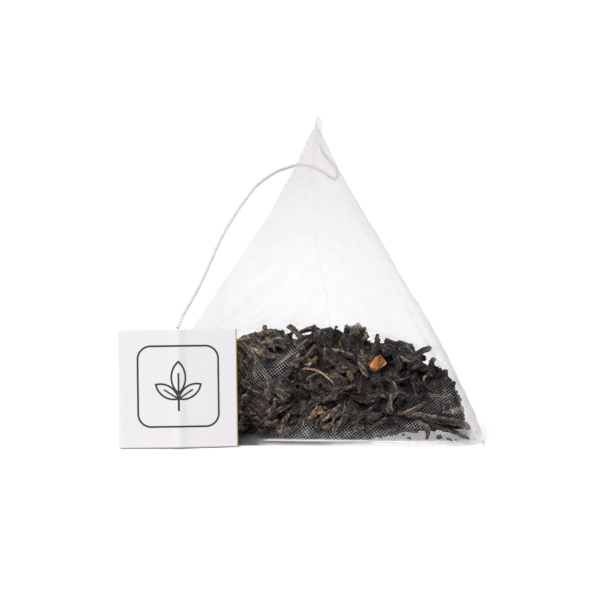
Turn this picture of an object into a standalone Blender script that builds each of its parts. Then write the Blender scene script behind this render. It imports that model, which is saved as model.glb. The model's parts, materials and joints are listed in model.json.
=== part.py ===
"""Pyramid tea bag: a mesh pouch full of leaf tea, with its string and its folded tag.

The pouch is one tube of mesh film. A seal along X closes its front end and a seal square to it
closes its rear end, so the tube stands up as a pyramid with four faces and rests on one of them.
The string is welded beside the top of the rear seal and ends inside the tag, which stands on its
lower edge in front of the pouch.
"""
import math

import bmesh
import bpy
import numpy as np
from mathutils import Vector
from mathutils.geometry import delaunay_2d_cdt, tessellate_polygon

MM = 0.001

# Pouch
SEAL_LENGTH = 66.0 * MM
TUBE_LENGTH = 66.0 * MM
FILM = 0.3 * MM
FIN_WIDTH = 2.8 * MM
FIN_DROP = math.radians(24)
FIN_WAVE = 0.25 * MM
FIN_WAVES = 2.5
FIN_CURL = 0.7 * MM
FIN_CURL_START = 0.6
SEAL_BAND = 1.5 * MM
LAP_WIDTH = 3.0 * MM
FRONT_SWELL = 1.6 * MM
SIDE_SWELL = 3.0 * MM
RIGHT_EDGE_SWELL = 2.1 * MM
RIGHT_EDGE_PINCH = 0.95 * MM
LEFT_EDGE_SWELL = 1.3 * MM
LEFT_EDGE_PINCH = 1.7 * MM
SWELL_POWER = 0.6
PINCH_POWER = 2.0
LIFT_SHARE = 0.09
SEAL_STEP = 7.5 * MM
FOLD_STEPS = 12

# Weave of the pouch: square gaps turned a half right angle to the seals, between crested bars
WEAVE_COLUMNS = 14
WEAVE_BAR = 2.2 * MM
WEAVE_CREST = 0.12 * MM
FOLD_MARGIN = 0.9 * MM
SEAL_MARGIN = 0.6 * MM
BASE_PAD = 8.0 * MM
BASE_PAD_SHARE = 0.42

# Tea
GAP = 0.35 * MM
LEAF_THICKNESS = 1.5 * MM
HEAP_HEIGHT = 20.0 * MM
HEAP_SHOULDER = 0.515
HEAP_SHOULDER_POWER = 3
HEAP_SHOULDER_PLACE = 0.41
HEAP_SLOPE = math.radians(24)
HEAP_RELIEF = 0.5 * MM
HEAP_EDGE = 0.6 * MM
HEAP_START = 0.045
HEAP_END = 0.76
HEAP_RINGS = 26
HEAP_RING_POINTS = 34
HEAP_CORNER_POWER = 0.35
LAYER_START = 0.04
LAYER_FULL = 0.14
FRONT_FIELD_START = 0.12
FRONT_LEAVES = 26
FRONT_LEAF_LENGTHS = (3.6 * MM, 9.6 * MM)
SLOPE_LEAVES = 21
SLOPE_LEAF_LENGTHS = (5.0 * MM, 11.0 * MM)
LEAF_WIDTH_SHARES = (0.5, 0.95)
LEAF_DEPTH_SHARE = 0.8
LEAF_BOW = 0.07
LEAF_TWISTS = (0.4, 1.6)
LEAF_SPACE = 1.6 * GAP
LEAF_TAPER = 0.78
LEAF_TAPER_POWER = 2.6
LEAF_SIDES = 6
LEAF_STEPS = 9
LEAF_SEED = 11
LEAF_TRIES = 6000

# The pieces that stand out: name, place as shares of the front's half width and of the heap's
# height, direction, length, bow as a share of the length, width, depth, twist and finish
SHOWN_PIECES = (
    ("bark_flake", (0.465, 0.684), 0.7, 2.8 * MM, 0.0, 2.2 * MM, 0.7 * MM, 0.0, "bark"),
    ("pale_stem", (0.078, 0.582), -0.5, 6.4 * MM, -0.1, 0.8 * MM, 0.7 * MM, 0.3, "stem"),
    ("long_twig", (0.777, 0.79), 0.72, 4.8 * MM, 0.0, 1.0 * MM, 0.9 * MM, 0.2, "twig"),
    ("upper_twig", (-0.135, 0.965), 2.35, 5.0 * MM, 0.026, 1.0 * MM, 0.9 * MM, 0.4, "twig"),
)
SHOWN_PIECE_STEPS = 7

# String
STRING_DIAMETER = 0.65 * MM
STRING_POINT_PITCH = 1.5 * MM
STRING_GAP = 0.3 * MM
STRING_ROUTE_MM = (
    (0.8, 36.9, 52.6), (0.85, 37.7, 51.75), (1.2, 38.5, 50.9), (1.75, 39.0, 50.04),
    (2.53, 39.3, 49.14), (3.31, 39.4, 48.16), (3.82, 39.6, 47.17), (3.87, 40.2, 46.14),
    (3.22, 41.2, 45.56), (2.19, 42.2, 45.96), (0.69, 42.8, 46.98), (-1.08, 42.9, 47.69),
    (-2.81, 42.2, 48.15), (-4.38, 40.8, 48.24), (-6.28, 38.4, 47.81), (-8.2, 35.6, 47.2),
    (-11.1, 30.2, 45.3), (-12.7, 26.6, 43.3), (-14.5, 22.2, 40.8), (-16.8, 16.3, 36.7),
    (-18.2, 11.6, 33.2), (-19.8, 6.2, 29.3), (-21.3, 0.7, 26.2), (-22.4, -2.8, 24.1),
)

# Tag
TAG_WIDTH = 21.8 * MM
TAG_HEIGHT = 21.6 * MM
TAG_CARD = 0.28 * MM
TAG_SLOT = 0.3 * MM
TAG_MOUTH = 0.7 * MM
TAG_WELD_WIDTH = 7.0 * MM
TAG_RIDGE_WIDTH = 1.8 * MM
TAG_RIDGE_HEIGHT = 0.35 * MM
TAG_VEE = 1.1 * MM
TAG_TURN = math.radians(9.4)
TAG_LEAN = math.radians(8.0)
TAG_PLACE = (-22.7 * MM, -7.6 * MM)

# Shading turns at edges sharper than this
SHARP_ANGLE = math.radians(40)

# Worked out from the sizes above
HALF_SLOPE = math.asin(SEAL_LENGTH / (2 * TUBE_LENGTH))
WALL = FILM / math.cos(HALF_SLOPE)
QUARTER = SEAL_LENGTH / 2 + 2 * WALL
AROUND = 4 * QUARTER
AXIS = np.array([0.0, math.cos(HALF_SLOPE), math.sin(HALF_SLOPE)])
RISE = np.array([0.0, -math.sin(HALF_SLOPE), math.cos(HALF_SLOPE)])
SIDE = np.array([1.0, 0.0, 0.0])
UP = np.array([0.0, 0.0, 1.0])
AXIS_LENGTH = TUBE_LENGTH * math.cos(HALF_SLOPE)
SEAL_LIFT = FIN_WIDTH * math.sin(FIN_DROP)
BAND_SHARE = SEAL_BAND / TUBE_LENGTH


def clear_scene():
    """Empty the file of its starting objects."""
    for thing in list(bpy.data.objects):
        bpy.data.objects.remove(thing, do_unlink=True)


def material(name, color, roughness, metallic=0.0):
    """A Principled finish."""
    made = bpy.data.materials.new(name)
    made.use_nodes = True
    shader = made.node_tree.nodes["Principled BSDF"]
    shader.inputs["Base Color"].default_value = (*color, 1.0)
    shader.inputs["Roughness"].default_value = roughness
    shader.inputs["Metallic"].default_value = metallic
    return made


def add_object(name, mesh, finish, smooth=True):
    """Link a mesh as an object with its finish."""
    mesh.materials.append(finish)
    if smooth:
        mesh.shade_smooth()
        mesh.set_sharp_from_angle(angle=SHARP_ANGLE)
    thing = bpy.data.objects.new(name, mesh)
    bpy.context.collection.objects.link(thing)
    return thing


def mesh_from(name, points, faces):
    """A closed mesh with its faces turned outwards and every face a triangle."""
    shape = bmesh.new()
    corners = [shape.verts.new(Vector(point)) for point in points]
    for face in faces:
        shape.faces.new([corners[index] for index in face])
    bmesh.ops.recalc_face_normals(shape, faces=shape.faces)
    bmesh.ops.triangulate(shape, faces=shape.faces)
    mesh = bpy.data.meshes.new(name)
    shape.to_mesh(mesh)
    shape.free()
    return mesh


# Film: a point of it is given by its place round the tube, from the front face's middle line,
# and its share of the way from the front seal to the rear seal


def half_width(share):
    """Half the section's width along X."""
    return WALL + SEAL_LENGTH / 2 * (1 - share)


def half_rise(share):
    """Half the section's height along the rear seal."""
    return WALL + SEAL_LENGTH / 2 * share


def fold_wave(around):
    """A wave of straight flanks that runs once round the tube, a quarter tube high."""
    return QUARTER - np.abs((around + QUARTER) % AROUND - 2 * QUARTER)


def edge_offset(share, swell, pinch):
    """How far a fold edge stands out: out where the tea presses, in below the apex."""
    low = share ** SWELL_POWER
    high = share ** PINCH_POWER
    return swell * 4 * low * (1 - low) - pinch * 4 * high * (1 - high)


def front_swell(wide, share):
    """How far the front face bows out at a share of the section's half width."""
    return FRONT_SWELL * (1 - wide ** 2) * 4 * share * (1 - share)


def rise_share(height, wide, share):
    """The section share that lies at a height along the rise, the front's bow counted in."""
    bow = front_swell(wide, share)
    return (height - bow / 2) / (half_rise(share) + bow / 2)


def place_in_section(across, rise, share):
    """The point at shares of the half width and half height, each from -1 to 1."""
    share = np.asarray(share, dtype=float)
    bow = 4 * share * (1 - share)
    swell = np.where(across > 0, RIGHT_EDGE_SWELL, LEFT_EDGE_SWELL)
    pinch = np.where(across > 0, RIGHT_EDGE_PINCH, LEFT_EDGE_PINCH)
    wide = np.minimum(np.abs(across), 1.0)
    tall = np.clip(rise, -1.0, 1.0)
    x = across * half_width(share) + np.sign(across) * wide * edge_offset(share, swell, pinch)
    x = x + across * SIDE_SWELL * (1 - tall ** 2) * bow
    c = rise * half_rise(share) + (1 + tall) / 2 * front_swell(wide, share)
    lift = SEAL_LIFT * np.clip(1 - share / LIFT_SHARE, 0, 1) ** 2 + WALL * math.cos(HALF_SLOPE)
    return (np.multiply.outer(share * AXIS_LENGTH, AXIS) + np.multiply.outer(x, SIDE)
            + np.multiply.outer(c, RISE) + np.multiply.outer(lift, UP))


def film_point(around, share, depth=0.0):
    """A point of the film at a depth below its outer surface."""
    share = np.asarray(share, dtype=float)
    across = np.clip(fold_wave(around), -half_width(share), half_width(share))
    rise = np.clip(fold_wave(around + QUARTER), -half_rise(share), half_rise(share))
    inner_wide = np.maximum(half_width(share) - depth, 0) / half_width(share)
    inner_tall = np.maximum(half_rise(share) - depth, 0) / half_rise(share)
    across = across / half_width(share) * inner_wide
    rise = rise / half_rise(share) * inner_tall
    return place_in_section(across, rise, share)


def fold_places(share):
    """Places round the tube of its four fold edges at a share of its length."""
    wide = half_width(share)
    return (-wide, wide, 2 * QUARTER - wide, 2 * QUARTER + wide)


def face_number(around, share):
    """Which face a film point is on, or None where it is within the margin of a fold."""
    folds = fold_places(share)
    if min(abs(around - fold) for fold in folds) < FOLD_MARGIN:
        return None
    return sum(around > fold for fold in folds) % 4


def ring_places(share):
    """Places round the tube of a ring of points, with a point on each fold edge."""
    left, right, far_right, far_left = fold_places(share)
    front_steps = max(2, 2 * round((right - left) / SEAL_STEP / 2))
    side_steps = max(2, 2 * round((far_right - right) / SEAL_STEP / 2))
    front = np.linspace(left, right, front_steps + 1)
    side = np.linspace(right, far_right, side_steps + 1)
    base = np.linspace(far_right, far_left, front_steps + 1)
    half_side = np.linspace(far_left, 3 * QUARTER, side_steps // 2 + 1)
    start = np.linspace(-QUARTER, left, side_steps // 2 + 1)
    return np.concatenate([start, front[1:], side[1:], base[1:], half_side[1:]])


class FilmPlan:
    """The flat film with its folds, gaps and crest lines, cut into triangles."""

    def __init__(self):
        self.points = []
        self.lines = []
        self.gaps = []
        self.numbers = {}

    def point(self, around, share):
        """Number of a plan point, made once for each place."""
        key = (round(around / MM, 4), round(share * TUBE_LENGTH / MM, 4))
        if key not in self.numbers:
            self.numbers[key] = len(self.points)
            self.points.append(key)
        return self.numbers[key]

    def line(self, places):
        """A line through (around, share) places."""
        numbers = [self.point(*place) for place in places]
        self.lines += list(zip(numbers[:-1], numbers[1:]))

    def cut(self):
        """Triangles of the plan without its gaps, and the points they use."""
        flat = [Vector(key) for key in self.points]
        result = delaunay_2d_cdt(flat, self.lines, [], 0, 1e-6)
        points = np.array([tuple(point) for point in result[0]]) * MM
        kept = []
        for triangle in result[2]:
            middle = points[list(triangle)].mean(axis=0)
            if not any(self.in_gap(middle, gap) for gap in self.gaps):
                kept.append(tuple(triangle))
        return points, kept

    @staticmethod
    def in_gap(place, gap):
        """Whether a plan place lies within a gap, a square on its corner."""
        around, length, reach = gap
        return abs(place[0] - around) + abs(place[1] - length) < reach


def weave_on(plan):
    """Lay the gaps and the crest lines of the weave over the plan."""
    column = AROUND / WEAVE_COLUMNS
    row = column / 2
    reach = row - WEAVE_BAR / math.sqrt(2)
    margin = SEAL_BAND + SEAL_MARGIN
    rows = 1 + int((TUBE_LENGTH - 2 * (margin + reach)) / row)
    first_row = (TUBE_LENGTH - (rows - 1) * row) / 2
    rims = set()

    def plain(around, length):
        """Whether the place is in the plain patch of the base."""
        beside = abs(around - 2 * QUARTER)
        along = abs(length - BASE_PAD_SHARE * TUBE_LENGTH)
        return max(beside, along) < BASE_PAD

    def clear(places):
        """Whether all places lie on one face, clear of its folds and of the seals."""
        inside = all(margin < share * TUBE_LENGTH < TUBE_LENGTH - margin
                     and -QUARTER + FOLD_MARGIN < around < 3 * QUARTER - FOLD_MARGIN
                     for around, share in places)
        faces = {face_number(around, share) for around, share in places}
        return inside and len(faces) == 1 and None not in faces

    for row_number in range(rows):
        length = first_row + row_number * row
        for column_number in range(WEAVE_COLUMNS + 1):
            around = -QUARTER + column * (column_number + 0.5 * (row_number % 2))
            share = length / TUBE_LENGTH
            step = reach / TUBE_LENGTH
            corners = [(around - reach, share), (around, share - step),
                       (around + reach, share), (around, share + step)]
            if clear(corners) and not plain(around, length):
                plan.line(corners + corners[:1])
                plan.gaps.append((around, length, reach))
                rims.update(plan.point(*corner) for corner in corners)
            crossing = (around + row, share)
            for side in (-1, 1):
                ahead = (crossing[0] + side * row, share + row / TUBE_LENGTH)
                if clear([crossing, ahead]):
                    plan.line([crossing, ahead])
    return {plan.points[number] for number in rims}


def pouch_mesh():
    """The film with its gaps, doubled along its lap seam, and the flat fin at each seal."""
    plan = FilmPlan()
    rings = (0.0, BAND_SHARE, 1 - BAND_SHARE, 1.0)
    for share in rings:
        plan.line([(around, share) for around in ring_places(share)])
    steps = np.unique(np.concatenate([np.linspace(0, 1, FOLD_STEPS + 1), rings]))
    steps = [step for step in steps if step in rings or BAND_SHARE * 2 < step < 1 - BAND_SHARE * 2]
    for fold in range(4):
        plan.line([(fold_places(share)[fold], share) for share in steps])
    for cut_line in (-QUARTER, 3 * QUARTER):
        plan.line([(cut_line, share) for share in steps])
    rims = weave_on(plan)
    places, triangles = plan.cut()

    keys = [(round((place[0] + QUARTER) % AROUND / MM, 3), round(place[1] / MM, 3))
            for place in places]
    first = {}
    numbers = [first.setdefault(key, number) for number, key in enumerate(keys)]
    shares = places[:, 1] / TUBE_LENGTH
    rim_keys = {(round(key[0], 3), round(key[1], 3)) for key in rims}
    on_rim = [(round(place[0] / MM, 3), round(place[1] / MM, 3)) in rim_keys for place in places]
    crest = np.where(on_rim, WEAVE_CREST, 0.0)
    outer = film_point(places[:, 0], shares, crest)
    lap = np.abs(places[:, 0] - 2 * QUARTER) < LAP_WIDTH / 2
    inner = film_point(places[:, 0], shares, np.where(lap, 2 * WALL, WALL))

    count = len(places)
    points = [*outer, *inner]
    within = (shares > BAND_SHARE - 1e-6) & (shares < 1 - BAND_SHARE + 1e-6)
    faces = []
    edge_uses = {}
    for triangle in triangles:
        corners = [numbers[index] for index in triangle]
        faces.append(corners)
        if within[list(triangle)].all():
            faces.append([index + count for index in reversed(corners)])
        for start, end in zip(corners, corners[1:] + corners[:1]):
            key = (min(start, end), max(start, end))
            edge_uses[key] = edge_uses.get(key, 0) + 1
    for (start, end), uses in edge_uses.items():
        if uses == 1 and within[start] and within[end]:
            faces.append([start, end, end + count, start + count])

    def ring_at(share):
        """Numbers of the points on a ring, in their order round the tube."""
        on_ring = {numbers[index] for index in np.flatnonzero(np.abs(shares - share) < 1e-5)}
        return sorted(on_ring, key=lambda index: (places[index, 0] + QUARTER) % AROUND)

    for share in (BAND_SHARE, 1 - BAND_SHARE):
        faces.append([index + count for index in ring_at(share)])
    add_fin(points, faces, ring_at(0.0), front_fin_reach)
    add_fin(points, faces, ring_at(1.0), rear_fin_reach)
    used = sorted({index for face in faces for index in face})
    order = {index: number for number, index in enumerate(used)}
    faces = [[order[index] for index in face] for face in faces]
    return mesh_from("mesh_pouch", [points[index] for index in used], faces)


def front_fin_reach(place):
    """From the front seal down to the floor, with a slow wave along the edge."""
    along = place[0] / SEAL_LENGTH
    wave = FIN_WAVE * (0.5 - 0.5 * math.cos(2 * math.pi * FIN_WAVES * along))
    down = FIN_WIDTH * math.sin(FIN_DROP) - wave
    return Vector((0, -FIN_WIDTH * math.cos(FIN_DROP), -down))


def rear_fin_reach(place):
    """Straight on from the rear seal, curling to one side at the apex."""
    rise = np.dot(place, RISE) / SEAL_LENGTH + 0.5
    curl = FIN_CURL * (max(rise - FIN_CURL_START, 0) / (1 - FIN_CURL_START)) ** 2
    return Vector(AXIS * FIN_WIDTH) + Vector((-curl, 0, 0))


def add_fin(points, faces, ring, reach):
    """Carry a seal's ring outwards as a solid strip."""
    start = len(points)
    for index in ring:
        points.append(np.array(Vector(points[index]) + reach(points[index])))
    size = len(ring)
    for number in range(size):
        following = (number + 1) % size
        faces.append([ring[number], ring[following], start + following, start + number])
    faces.append([start + number for number in range(size)])


# Tea


def heap_top(x):
    """Height of the heap's top where it meets the front face, lower towards the sides."""
    aside = np.abs(x) / (SEAL_LENGTH * HEAP_SHOULDER_PLACE)
    return HEAP_HEIGHT * (1 - HEAP_SHOULDER * aside ** HEAP_SHOULDER_POWER)


def heap_rise_limit(x, share):
    """Where the heap's sloping top cuts the section plane, along the section's rise."""
    slope = math.tan(HEAP_SLOPE)
    front = HEAP_HEIGHT / math.tan(2 * HALF_SLOPE)
    level = heap_top(x) + slope * front
    fall = share * AXIS_LENGTH * (AXIS[2] + slope * AXIS[1])
    return (level - fall) / (RISE[2] + slope * RISE[1])


def leaf_layer(share):
    """Depth kept free for the leaves that lie against the front face."""
    ramp = (share - LAYER_START) / (LAYER_FULL - LAYER_START)
    return (LEAF_THICKNESS + 2 * GAP) * min(1.0, max(0.0, ramp))


def front_limit(wide, share):
    """Height along the rise of what lies just inside the front face."""
    inside = (WALL + GAP) / math.cos(HALF_SLOPE)
    return half_rise(share) + front_swell(wide, share) - inside


def heap_mesh():
    """The heap below its visible leaves: a closed skin of rings with ribs like packed leaves."""
    points = []
    for share in np.linspace(HEAP_START, HEAP_END, HEAP_RINGS):
        turn = np.linspace(0, 2 * np.pi, HEAP_RING_POINTS, endpoint=False)
        across = np.sign(np.cos(turn)) * np.abs(np.cos(turn)) ** HEAP_CORNER_POWER
        up = np.sign(np.sin(turn)) * np.abs(np.sin(turn)) ** HEAP_CORNER_POWER
        rib = 0.5 + 0.5 * np.sin(9 * turn + 37 * share + 2 * np.sin(5 * turn - 23 * share))
        inward = HEAP_RELIEF * rib
        x = across * (half_width(share) - WALL - 2 * GAP - inward)
        wide = np.abs(x) / half_width(share)
        low = -half_rise(share) + 2 * WALL + GAP
        high = front_limit(wide, share) - leaf_layer(share)
        top = np.minimum(high, heap_rise_limit(x, share)) - inward
        top = np.maximum(top, low + HEAP_EDGE)
        height = low + (top - low) * (up + 1) / 2
        rise = rise_share(height, wide, share)
        points.append(place_in_section(x / half_width(share), rise, share))
    rings = np.array(points).reshape(-1, 3)
    faces = []
    size = HEAP_RING_POINTS
    for ring in range(HEAP_RINGS - 1):
        for number in range(size):
            following = (number + 1) % size
            low_row = ring * size
            faces.append([low_row + number, low_row + following,
                          low_row + size + following, low_row + size + number])
    faces.append(list(range(size)))
    faces.append([(HEAP_RINGS - 1) * size + number for number in range(size)])
    return mesh_from("tea_heap", rings, faces)


def front_layer_point(x, length, level):
    """A point in the layer under the front face, from its outer side, 0, to its inner, 1."""
    share = length / TUBE_LENGTH
    wide = np.abs(x) / half_width(share)
    height = front_limit(wide, share) - level * LEAF_THICKNESS / math.cos(HALF_SLOPE)
    return place_in_section(x / half_width(share), rise_share(height, wide, share), share)


def slope_share(x, y):
    """Share of the tube whose section meets the heap's sloping top at y."""
    start = heap_rise_limit(x, 0.0)
    fall = heap_rise_limit(x, 1.0) - start
    return (y - RISE[1] * start) / (AXIS_LENGTH * AXIS[1] + RISE[1] * fall)


def slope_layer_point(x, y, level):
    """A point in the layer over the heap's sloping top, from its upper side, 0, to its lower."""
    share = slope_share(x, y)
    wide = np.abs(x) / half_width(share)
    height = heap_rise_limit(x, share) + slope_lift(GAP + (1 - level) * LEAF_THICKNESS)
    return place_in_section(x / half_width(share), rise_share(height, wide, share), share)


def slope_lift(distance):
    """The way along the rise that clears the heap's sloping top by a distance."""
    return distance / (RISE[2] * math.cos(HEAP_SLOPE) + RISE[1] * math.sin(HEAP_SLOPE))


def front_place(across, up):
    """Place on the front face at shares of its half width there and of the heap's height."""
    length = up * HEAP_HEIGHT / math.sin(2 * HALF_SLOPE)
    return across * half_width(length / TUBE_LENGTH), length


def slope_place(across, back):
    """Place on the heap's sloping top at a share of its half width and of its way back."""
    share = HEAP_START + (HEAP_END - HEAP_START) * back
    x = across * half_width(share)
    return x, share * AXIS_LENGTH * AXIS[1] + RISE[1] * heap_rise_limit(x, share)


def leaf_path(center, angle, length, bow, steps):
    """A bowed line on the flat layer, as arrays of its two coordinates."""
    along = np.linspace(-0.5, 0.5, steps) * length
    aside = bow * length * ((2 * along / length) ** 2 - 1 / 3)
    return (center[0] + along * math.cos(angle) - aside * math.sin(angle),
            center[1] + along * math.sin(angle) + aside * math.cos(angle))


def leaf_mesh(name, path, layer_point, width, thickness, twist):
    """A rolled leaf: an oval tube along its path that turns as it runs and tapers to its ends.

    It lies on the carrying side of its layer: the film in front, the heap's top on the slope.
    """
    sides = LEAF_SIDES
    steps = len(path[0])
    along = np.linspace(-1, 1, steps)
    taper = 1 - LEAF_TAPER * np.abs(along) ** LEAF_TAPER_POWER
    spin = twist * along
    reach = taper * np.hypot(width / 2 * np.sin(spin), thickness / 2 * np.cos(spin))
    seat = reach.max() / LEAF_THICKNESS
    level = seat if layer_point is front_layer_point else 1 - seat
    center = layer_point(path[0], path[1], level)
    above = layer_point(path[0], path[1], level - 0.5)
    tangent = np.gradient(center, axis=0)
    tangent /= np.linalg.norm(tangent, axis=1, keepdims=True)
    out = above - center
    out -= tangent * np.sum(out * tangent, axis=1, keepdims=True)
    out /= np.linalg.norm(out, axis=1, keepdims=True)
    aside = np.cross(tangent, out)
    turn = np.linspace(0, 2 * np.pi, sides, endpoint=False)[None, :, None]
    oval_wide = np.cos(turn) * width / 2
    oval_thick = np.sin(turn) * thickness / 2
    spin = spin[:, None, None]
    to_side = oval_wide * np.cos(spin) - oval_thick * np.sin(spin)
    to_out = oval_wide * np.sin(spin) + oval_thick * np.cos(spin)
    rings = to_side * aside[:, None] + to_out * out[:, None]
    points = center[:, None] + taper[:, None, None] * rings
    faces = []
    for ring in range(steps - 1):
        for number in range(sides):
            following = (number + 1) % sides
            start = ring * sides
            faces.append([start + number, start + following,
                          start + sides + following, start + sides + number])
    faces.append(list(range(sides)))
    faces.append([(steps - 1) * sides + number for number in range(sides)])
    return mesh_from(name, points.reshape(-1, 3), faces)


def spaced(path, width, laid):
    """Whether a path keeps clear of the paths laid before it."""
    here = np.stack(path, axis=1)
    for other, other_width in laid:
        there = np.stack(other, axis=1)
        apart = np.linalg.norm(here[:, None] - there[None], axis=2).min()
        if apart < (width + other_width) / 2 + LEAF_SPACE:
            return False
    return True


def scatter(count, lengths, place, inside, laid):
    """Lay leaves by number, long ones first, each at the first of its places that is free.

    A leaf's size and its places, as shares of the field, come from its number alone, so that the
    leaves stay themselves and keep their places when the field's size changes.
    """
    found = {}
    for number in range(1, count + 1):
        draw = np.random.default_rng((LEAF_SEED, number))
        long = lengths[1] - (lengths[1] - lengths[0]) * number / count
        width = LEAF_THICKNESS * draw.uniform(*LEAF_WIDTH_SHARES)
        bow = draw.uniform(-LEAF_BOW, LEAF_BOW)
        twist = draw.uniform(*LEAF_TWISTS)
        angle = draw.uniform(0, math.pi)
        for across, along in draw.uniform((-1, 0), (1, 1), (LEAF_TRIES, 2)):
            path = leaf_path(place(across, along), angle, long, bow, LEAF_STEPS)
            if inside(path, width) and spaced(path, width, laid):
                laid.append((path, width))
                found[number] = (path, width, twist)
                break
    return found


def in_front_field(path, width):
    """Whether a path lies on the front face, below the heap's top line."""
    share = path[1] / TUBE_LENGTH
    room = half_width(share) - WALL - 2 * GAP - np.abs(path[0]) - width / 2
    height = path[1] * math.sin(2 * HALF_SLOPE)
    top = heap_top(path[0]) + LEAF_THICKNESS / 2
    return room.min() > 0 and share.min() > FRONT_FIELD_START and (top - height).min() > 0


def in_slope_field(path, width):
    """Whether a path lies on the heap's sloping top, behind the front leaves."""
    share = slope_share(*path)
    if share.min() < HEAP_START or share.max() > HEAP_END:
        return False
    wide = np.abs(path[0]) / half_width(share)
    top = heap_rise_limit(path[0], share)
    layer = np.array([leaf_layer(each) for each in share])
    room_front = front_limit(wide, share) - layer - top - slope_lift(LEAF_THICKNESS + 3 * GAP)
    room_side = half_width(share) - WALL - 2 * GAP - np.abs(path[0]) - width / 2
    room_below = top + half_rise(share) - 2 * WALL - HEAP_EDGE - 2 * GAP
    return min(room_front.min(), room_side.min(), room_below.min()) > 0


def add_tea(finishes):
    """The heap, the larger pieces that show through the front and the leaves on the slope."""
    add_object("tea_heap", heap_mesh(), finishes["tea_dark"])
    laid = []
    for name, place, angle, long, bow, width, deep, twist, finish in SHOWN_PIECES:
        path = leaf_path(front_place(*place), angle, long, bow, SHOWN_PIECE_STEPS)
        laid.append((path, width))
        mesh = leaf_mesh(name, path, front_layer_point, width, deep, twist)
        add_object(name, mesh, finishes[finish])
    front = scatter(FRONT_LEAVES, FRONT_LEAF_LENGTHS, front_place, in_front_field, laid)
    slope = scatter(SLOPE_LEAVES, SLOPE_LEAF_LENGTHS, slope_place, in_slope_field, [])
    for group, leaves, layer in (("front_leaf", front, front_layer_point),
                                 ("slope_leaf", slope, slope_layer_point)):
        for number, (path, width, twist) in leaves.items():
            name = f"{group}_{number:02d}"
            mesh = leaf_mesh(name, path, layer, width, width * LEAF_DEPTH_SHARE, twist)
            add_object(name, mesh, finishes["tea_dark"])


# String and tag


def smooth_route(route, pitch):
    """Points a pitch apart along a smooth curve through the route."""
    ends = np.concatenate([[2 * route[0] - route[1]], route, [2 * route[-1] - route[-2]]])
    share = np.linspace(0, 1, 12, endpoint=False)[:, None]
    pieces = []
    for before, start, end, after in zip(ends, ends[1:], ends[2:], ends[3:]):
        pieces.append(0.5 * (2 * start + (end - before) * share
                             + (2 * before - 5 * start + 4 * end - after) * share ** 2
                             + (3 * start - before - 3 * end + after) * share ** 3))
    dense = np.concatenate(pieces + [route[-1:]])
    run = np.concatenate([[0], np.cumsum(np.linalg.norm(np.diff(dense, axis=0), axis=1))])
    stops = np.linspace(0, run[-1], round(run[-1] / pitch) + 1)
    return np.stack([np.interp(stops, run, dense[:, axis]) for axis in range(3)], axis=1)


def tag_frame():
    """The tag's directions across, backwards and up, and the middle of its lower edge."""
    across = np.array([math.cos(TAG_TURN), math.sin(TAG_TURN), 0.0])
    level_back = np.array([-math.sin(TAG_TURN), math.cos(TAG_TURN), 0.0])
    up = level_back * math.sin(TAG_LEAN) + UP * math.cos(TAG_LEAN)
    back = level_back * math.cos(TAG_LEAN) - UP * math.sin(TAG_LEAN)
    return across, back, up, np.array([*TAG_PLACE, 0.0])


def add_string(finish):
    """The cotton string, from beside the rear seal to the top of the tag."""
    up, foot = tag_frame()[2:]
    top = foot + up * (TAG_HEIGHT + tag_foot_rise() + STRING_GAP)
    route = np.array(STRING_ROUTE_MM) * MM
    route = np.concatenate([route, [top]])
    points = smooth_route(route, STRING_POINT_PITCH)
    curve = bpy.data.curves.new("string", "CURVE")
    curve.dimensions = "3D"
    curve.bevel_depth = STRING_DIAMETER / 2
    curve.bevel_resolution = 2
    curve.use_fill_caps = True
    line = curve.splines.new("POLY")
    line.points.add(len(points) - 1)
    line.points.foreach_set("co", np.c_[points, np.ones(len(points))].ravel())
    curve.materials.append(finish)
    thing = bpy.data.objects.new("string", curve)
    bpy.context.collection.objects.link(thing)
    return thing


def tag_foot_rise():
    """How far the tag's middle plane starts above the floor, so that its low corner meets it."""
    low_side = TAG_VEE + 2 * TAG_CARD + TAG_MOUTH
    return low_side * math.tan(TAG_LEAN)


def tag_profile():
    """Section of the folded card from above: its outline and the slot beside its weld.

    The fold is at the left, the weld that holds the string runs down the middle, and the right
    side stands open. Both leaves fall back a little from the middle.
    """
    half = TAG_WIDTH / 2
    weld = TAG_WELD_WIDTH / 2
    ridge = TAG_RIDGE_WIDTH / 2

    def fall(x):
        """How far the card has fallen back at a distance from the middle."""
        return TAG_VEE * abs(x) / half

    def ridge_rise(x):
        """How far the string raises the card beside the middle."""
        return TAG_RIDGE_HEIGHT * max(0.0, math.cos(math.pi * x / (2 * TAG_RIDGE_WIDTH))) ** 2

    def mouth(x):
        """Width of the slot between the leaves."""
        open_share = min(max((x - weld) / (half - weld), 0.0), 1.0)
        return TAG_SLOT + (TAG_MOUTH - TAG_SLOT) * open_share

    stations = [-half + TAG_CARD, -weld, -2 * ridge, -ridge, 0.0, ridge, 2 * ridge, weld, half]
    front = [(x, fall(x) - ridge_rise(x)) for x in stations]
    rear = [(x, fall(x) + 2 * TAG_CARD + mouth(x)) for x in stations]
    fold = (-half, fall(half) + TAG_CARD + TAG_SLOT / 2)
    slot_front = [(x, fall(x) + TAG_CARD) for x in stations if x >= weld]
    slot_rear = [(x, fall(x) + TAG_CARD + mouth(x)) for x in stations if x >= weld]
    outline = front + slot_front[::-1] + slot_rear + rear[::-1] + [fold]
    slot_ends = (-half + 2 * TAG_CARD, -weld)
    slot = [(x, fall(x) + TAG_CARD) for x in slot_ends]
    slot += [(x, fall(x) + TAG_CARD + TAG_SLOT) for x in reversed(slot_ends)]
    return outline, slot


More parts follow.
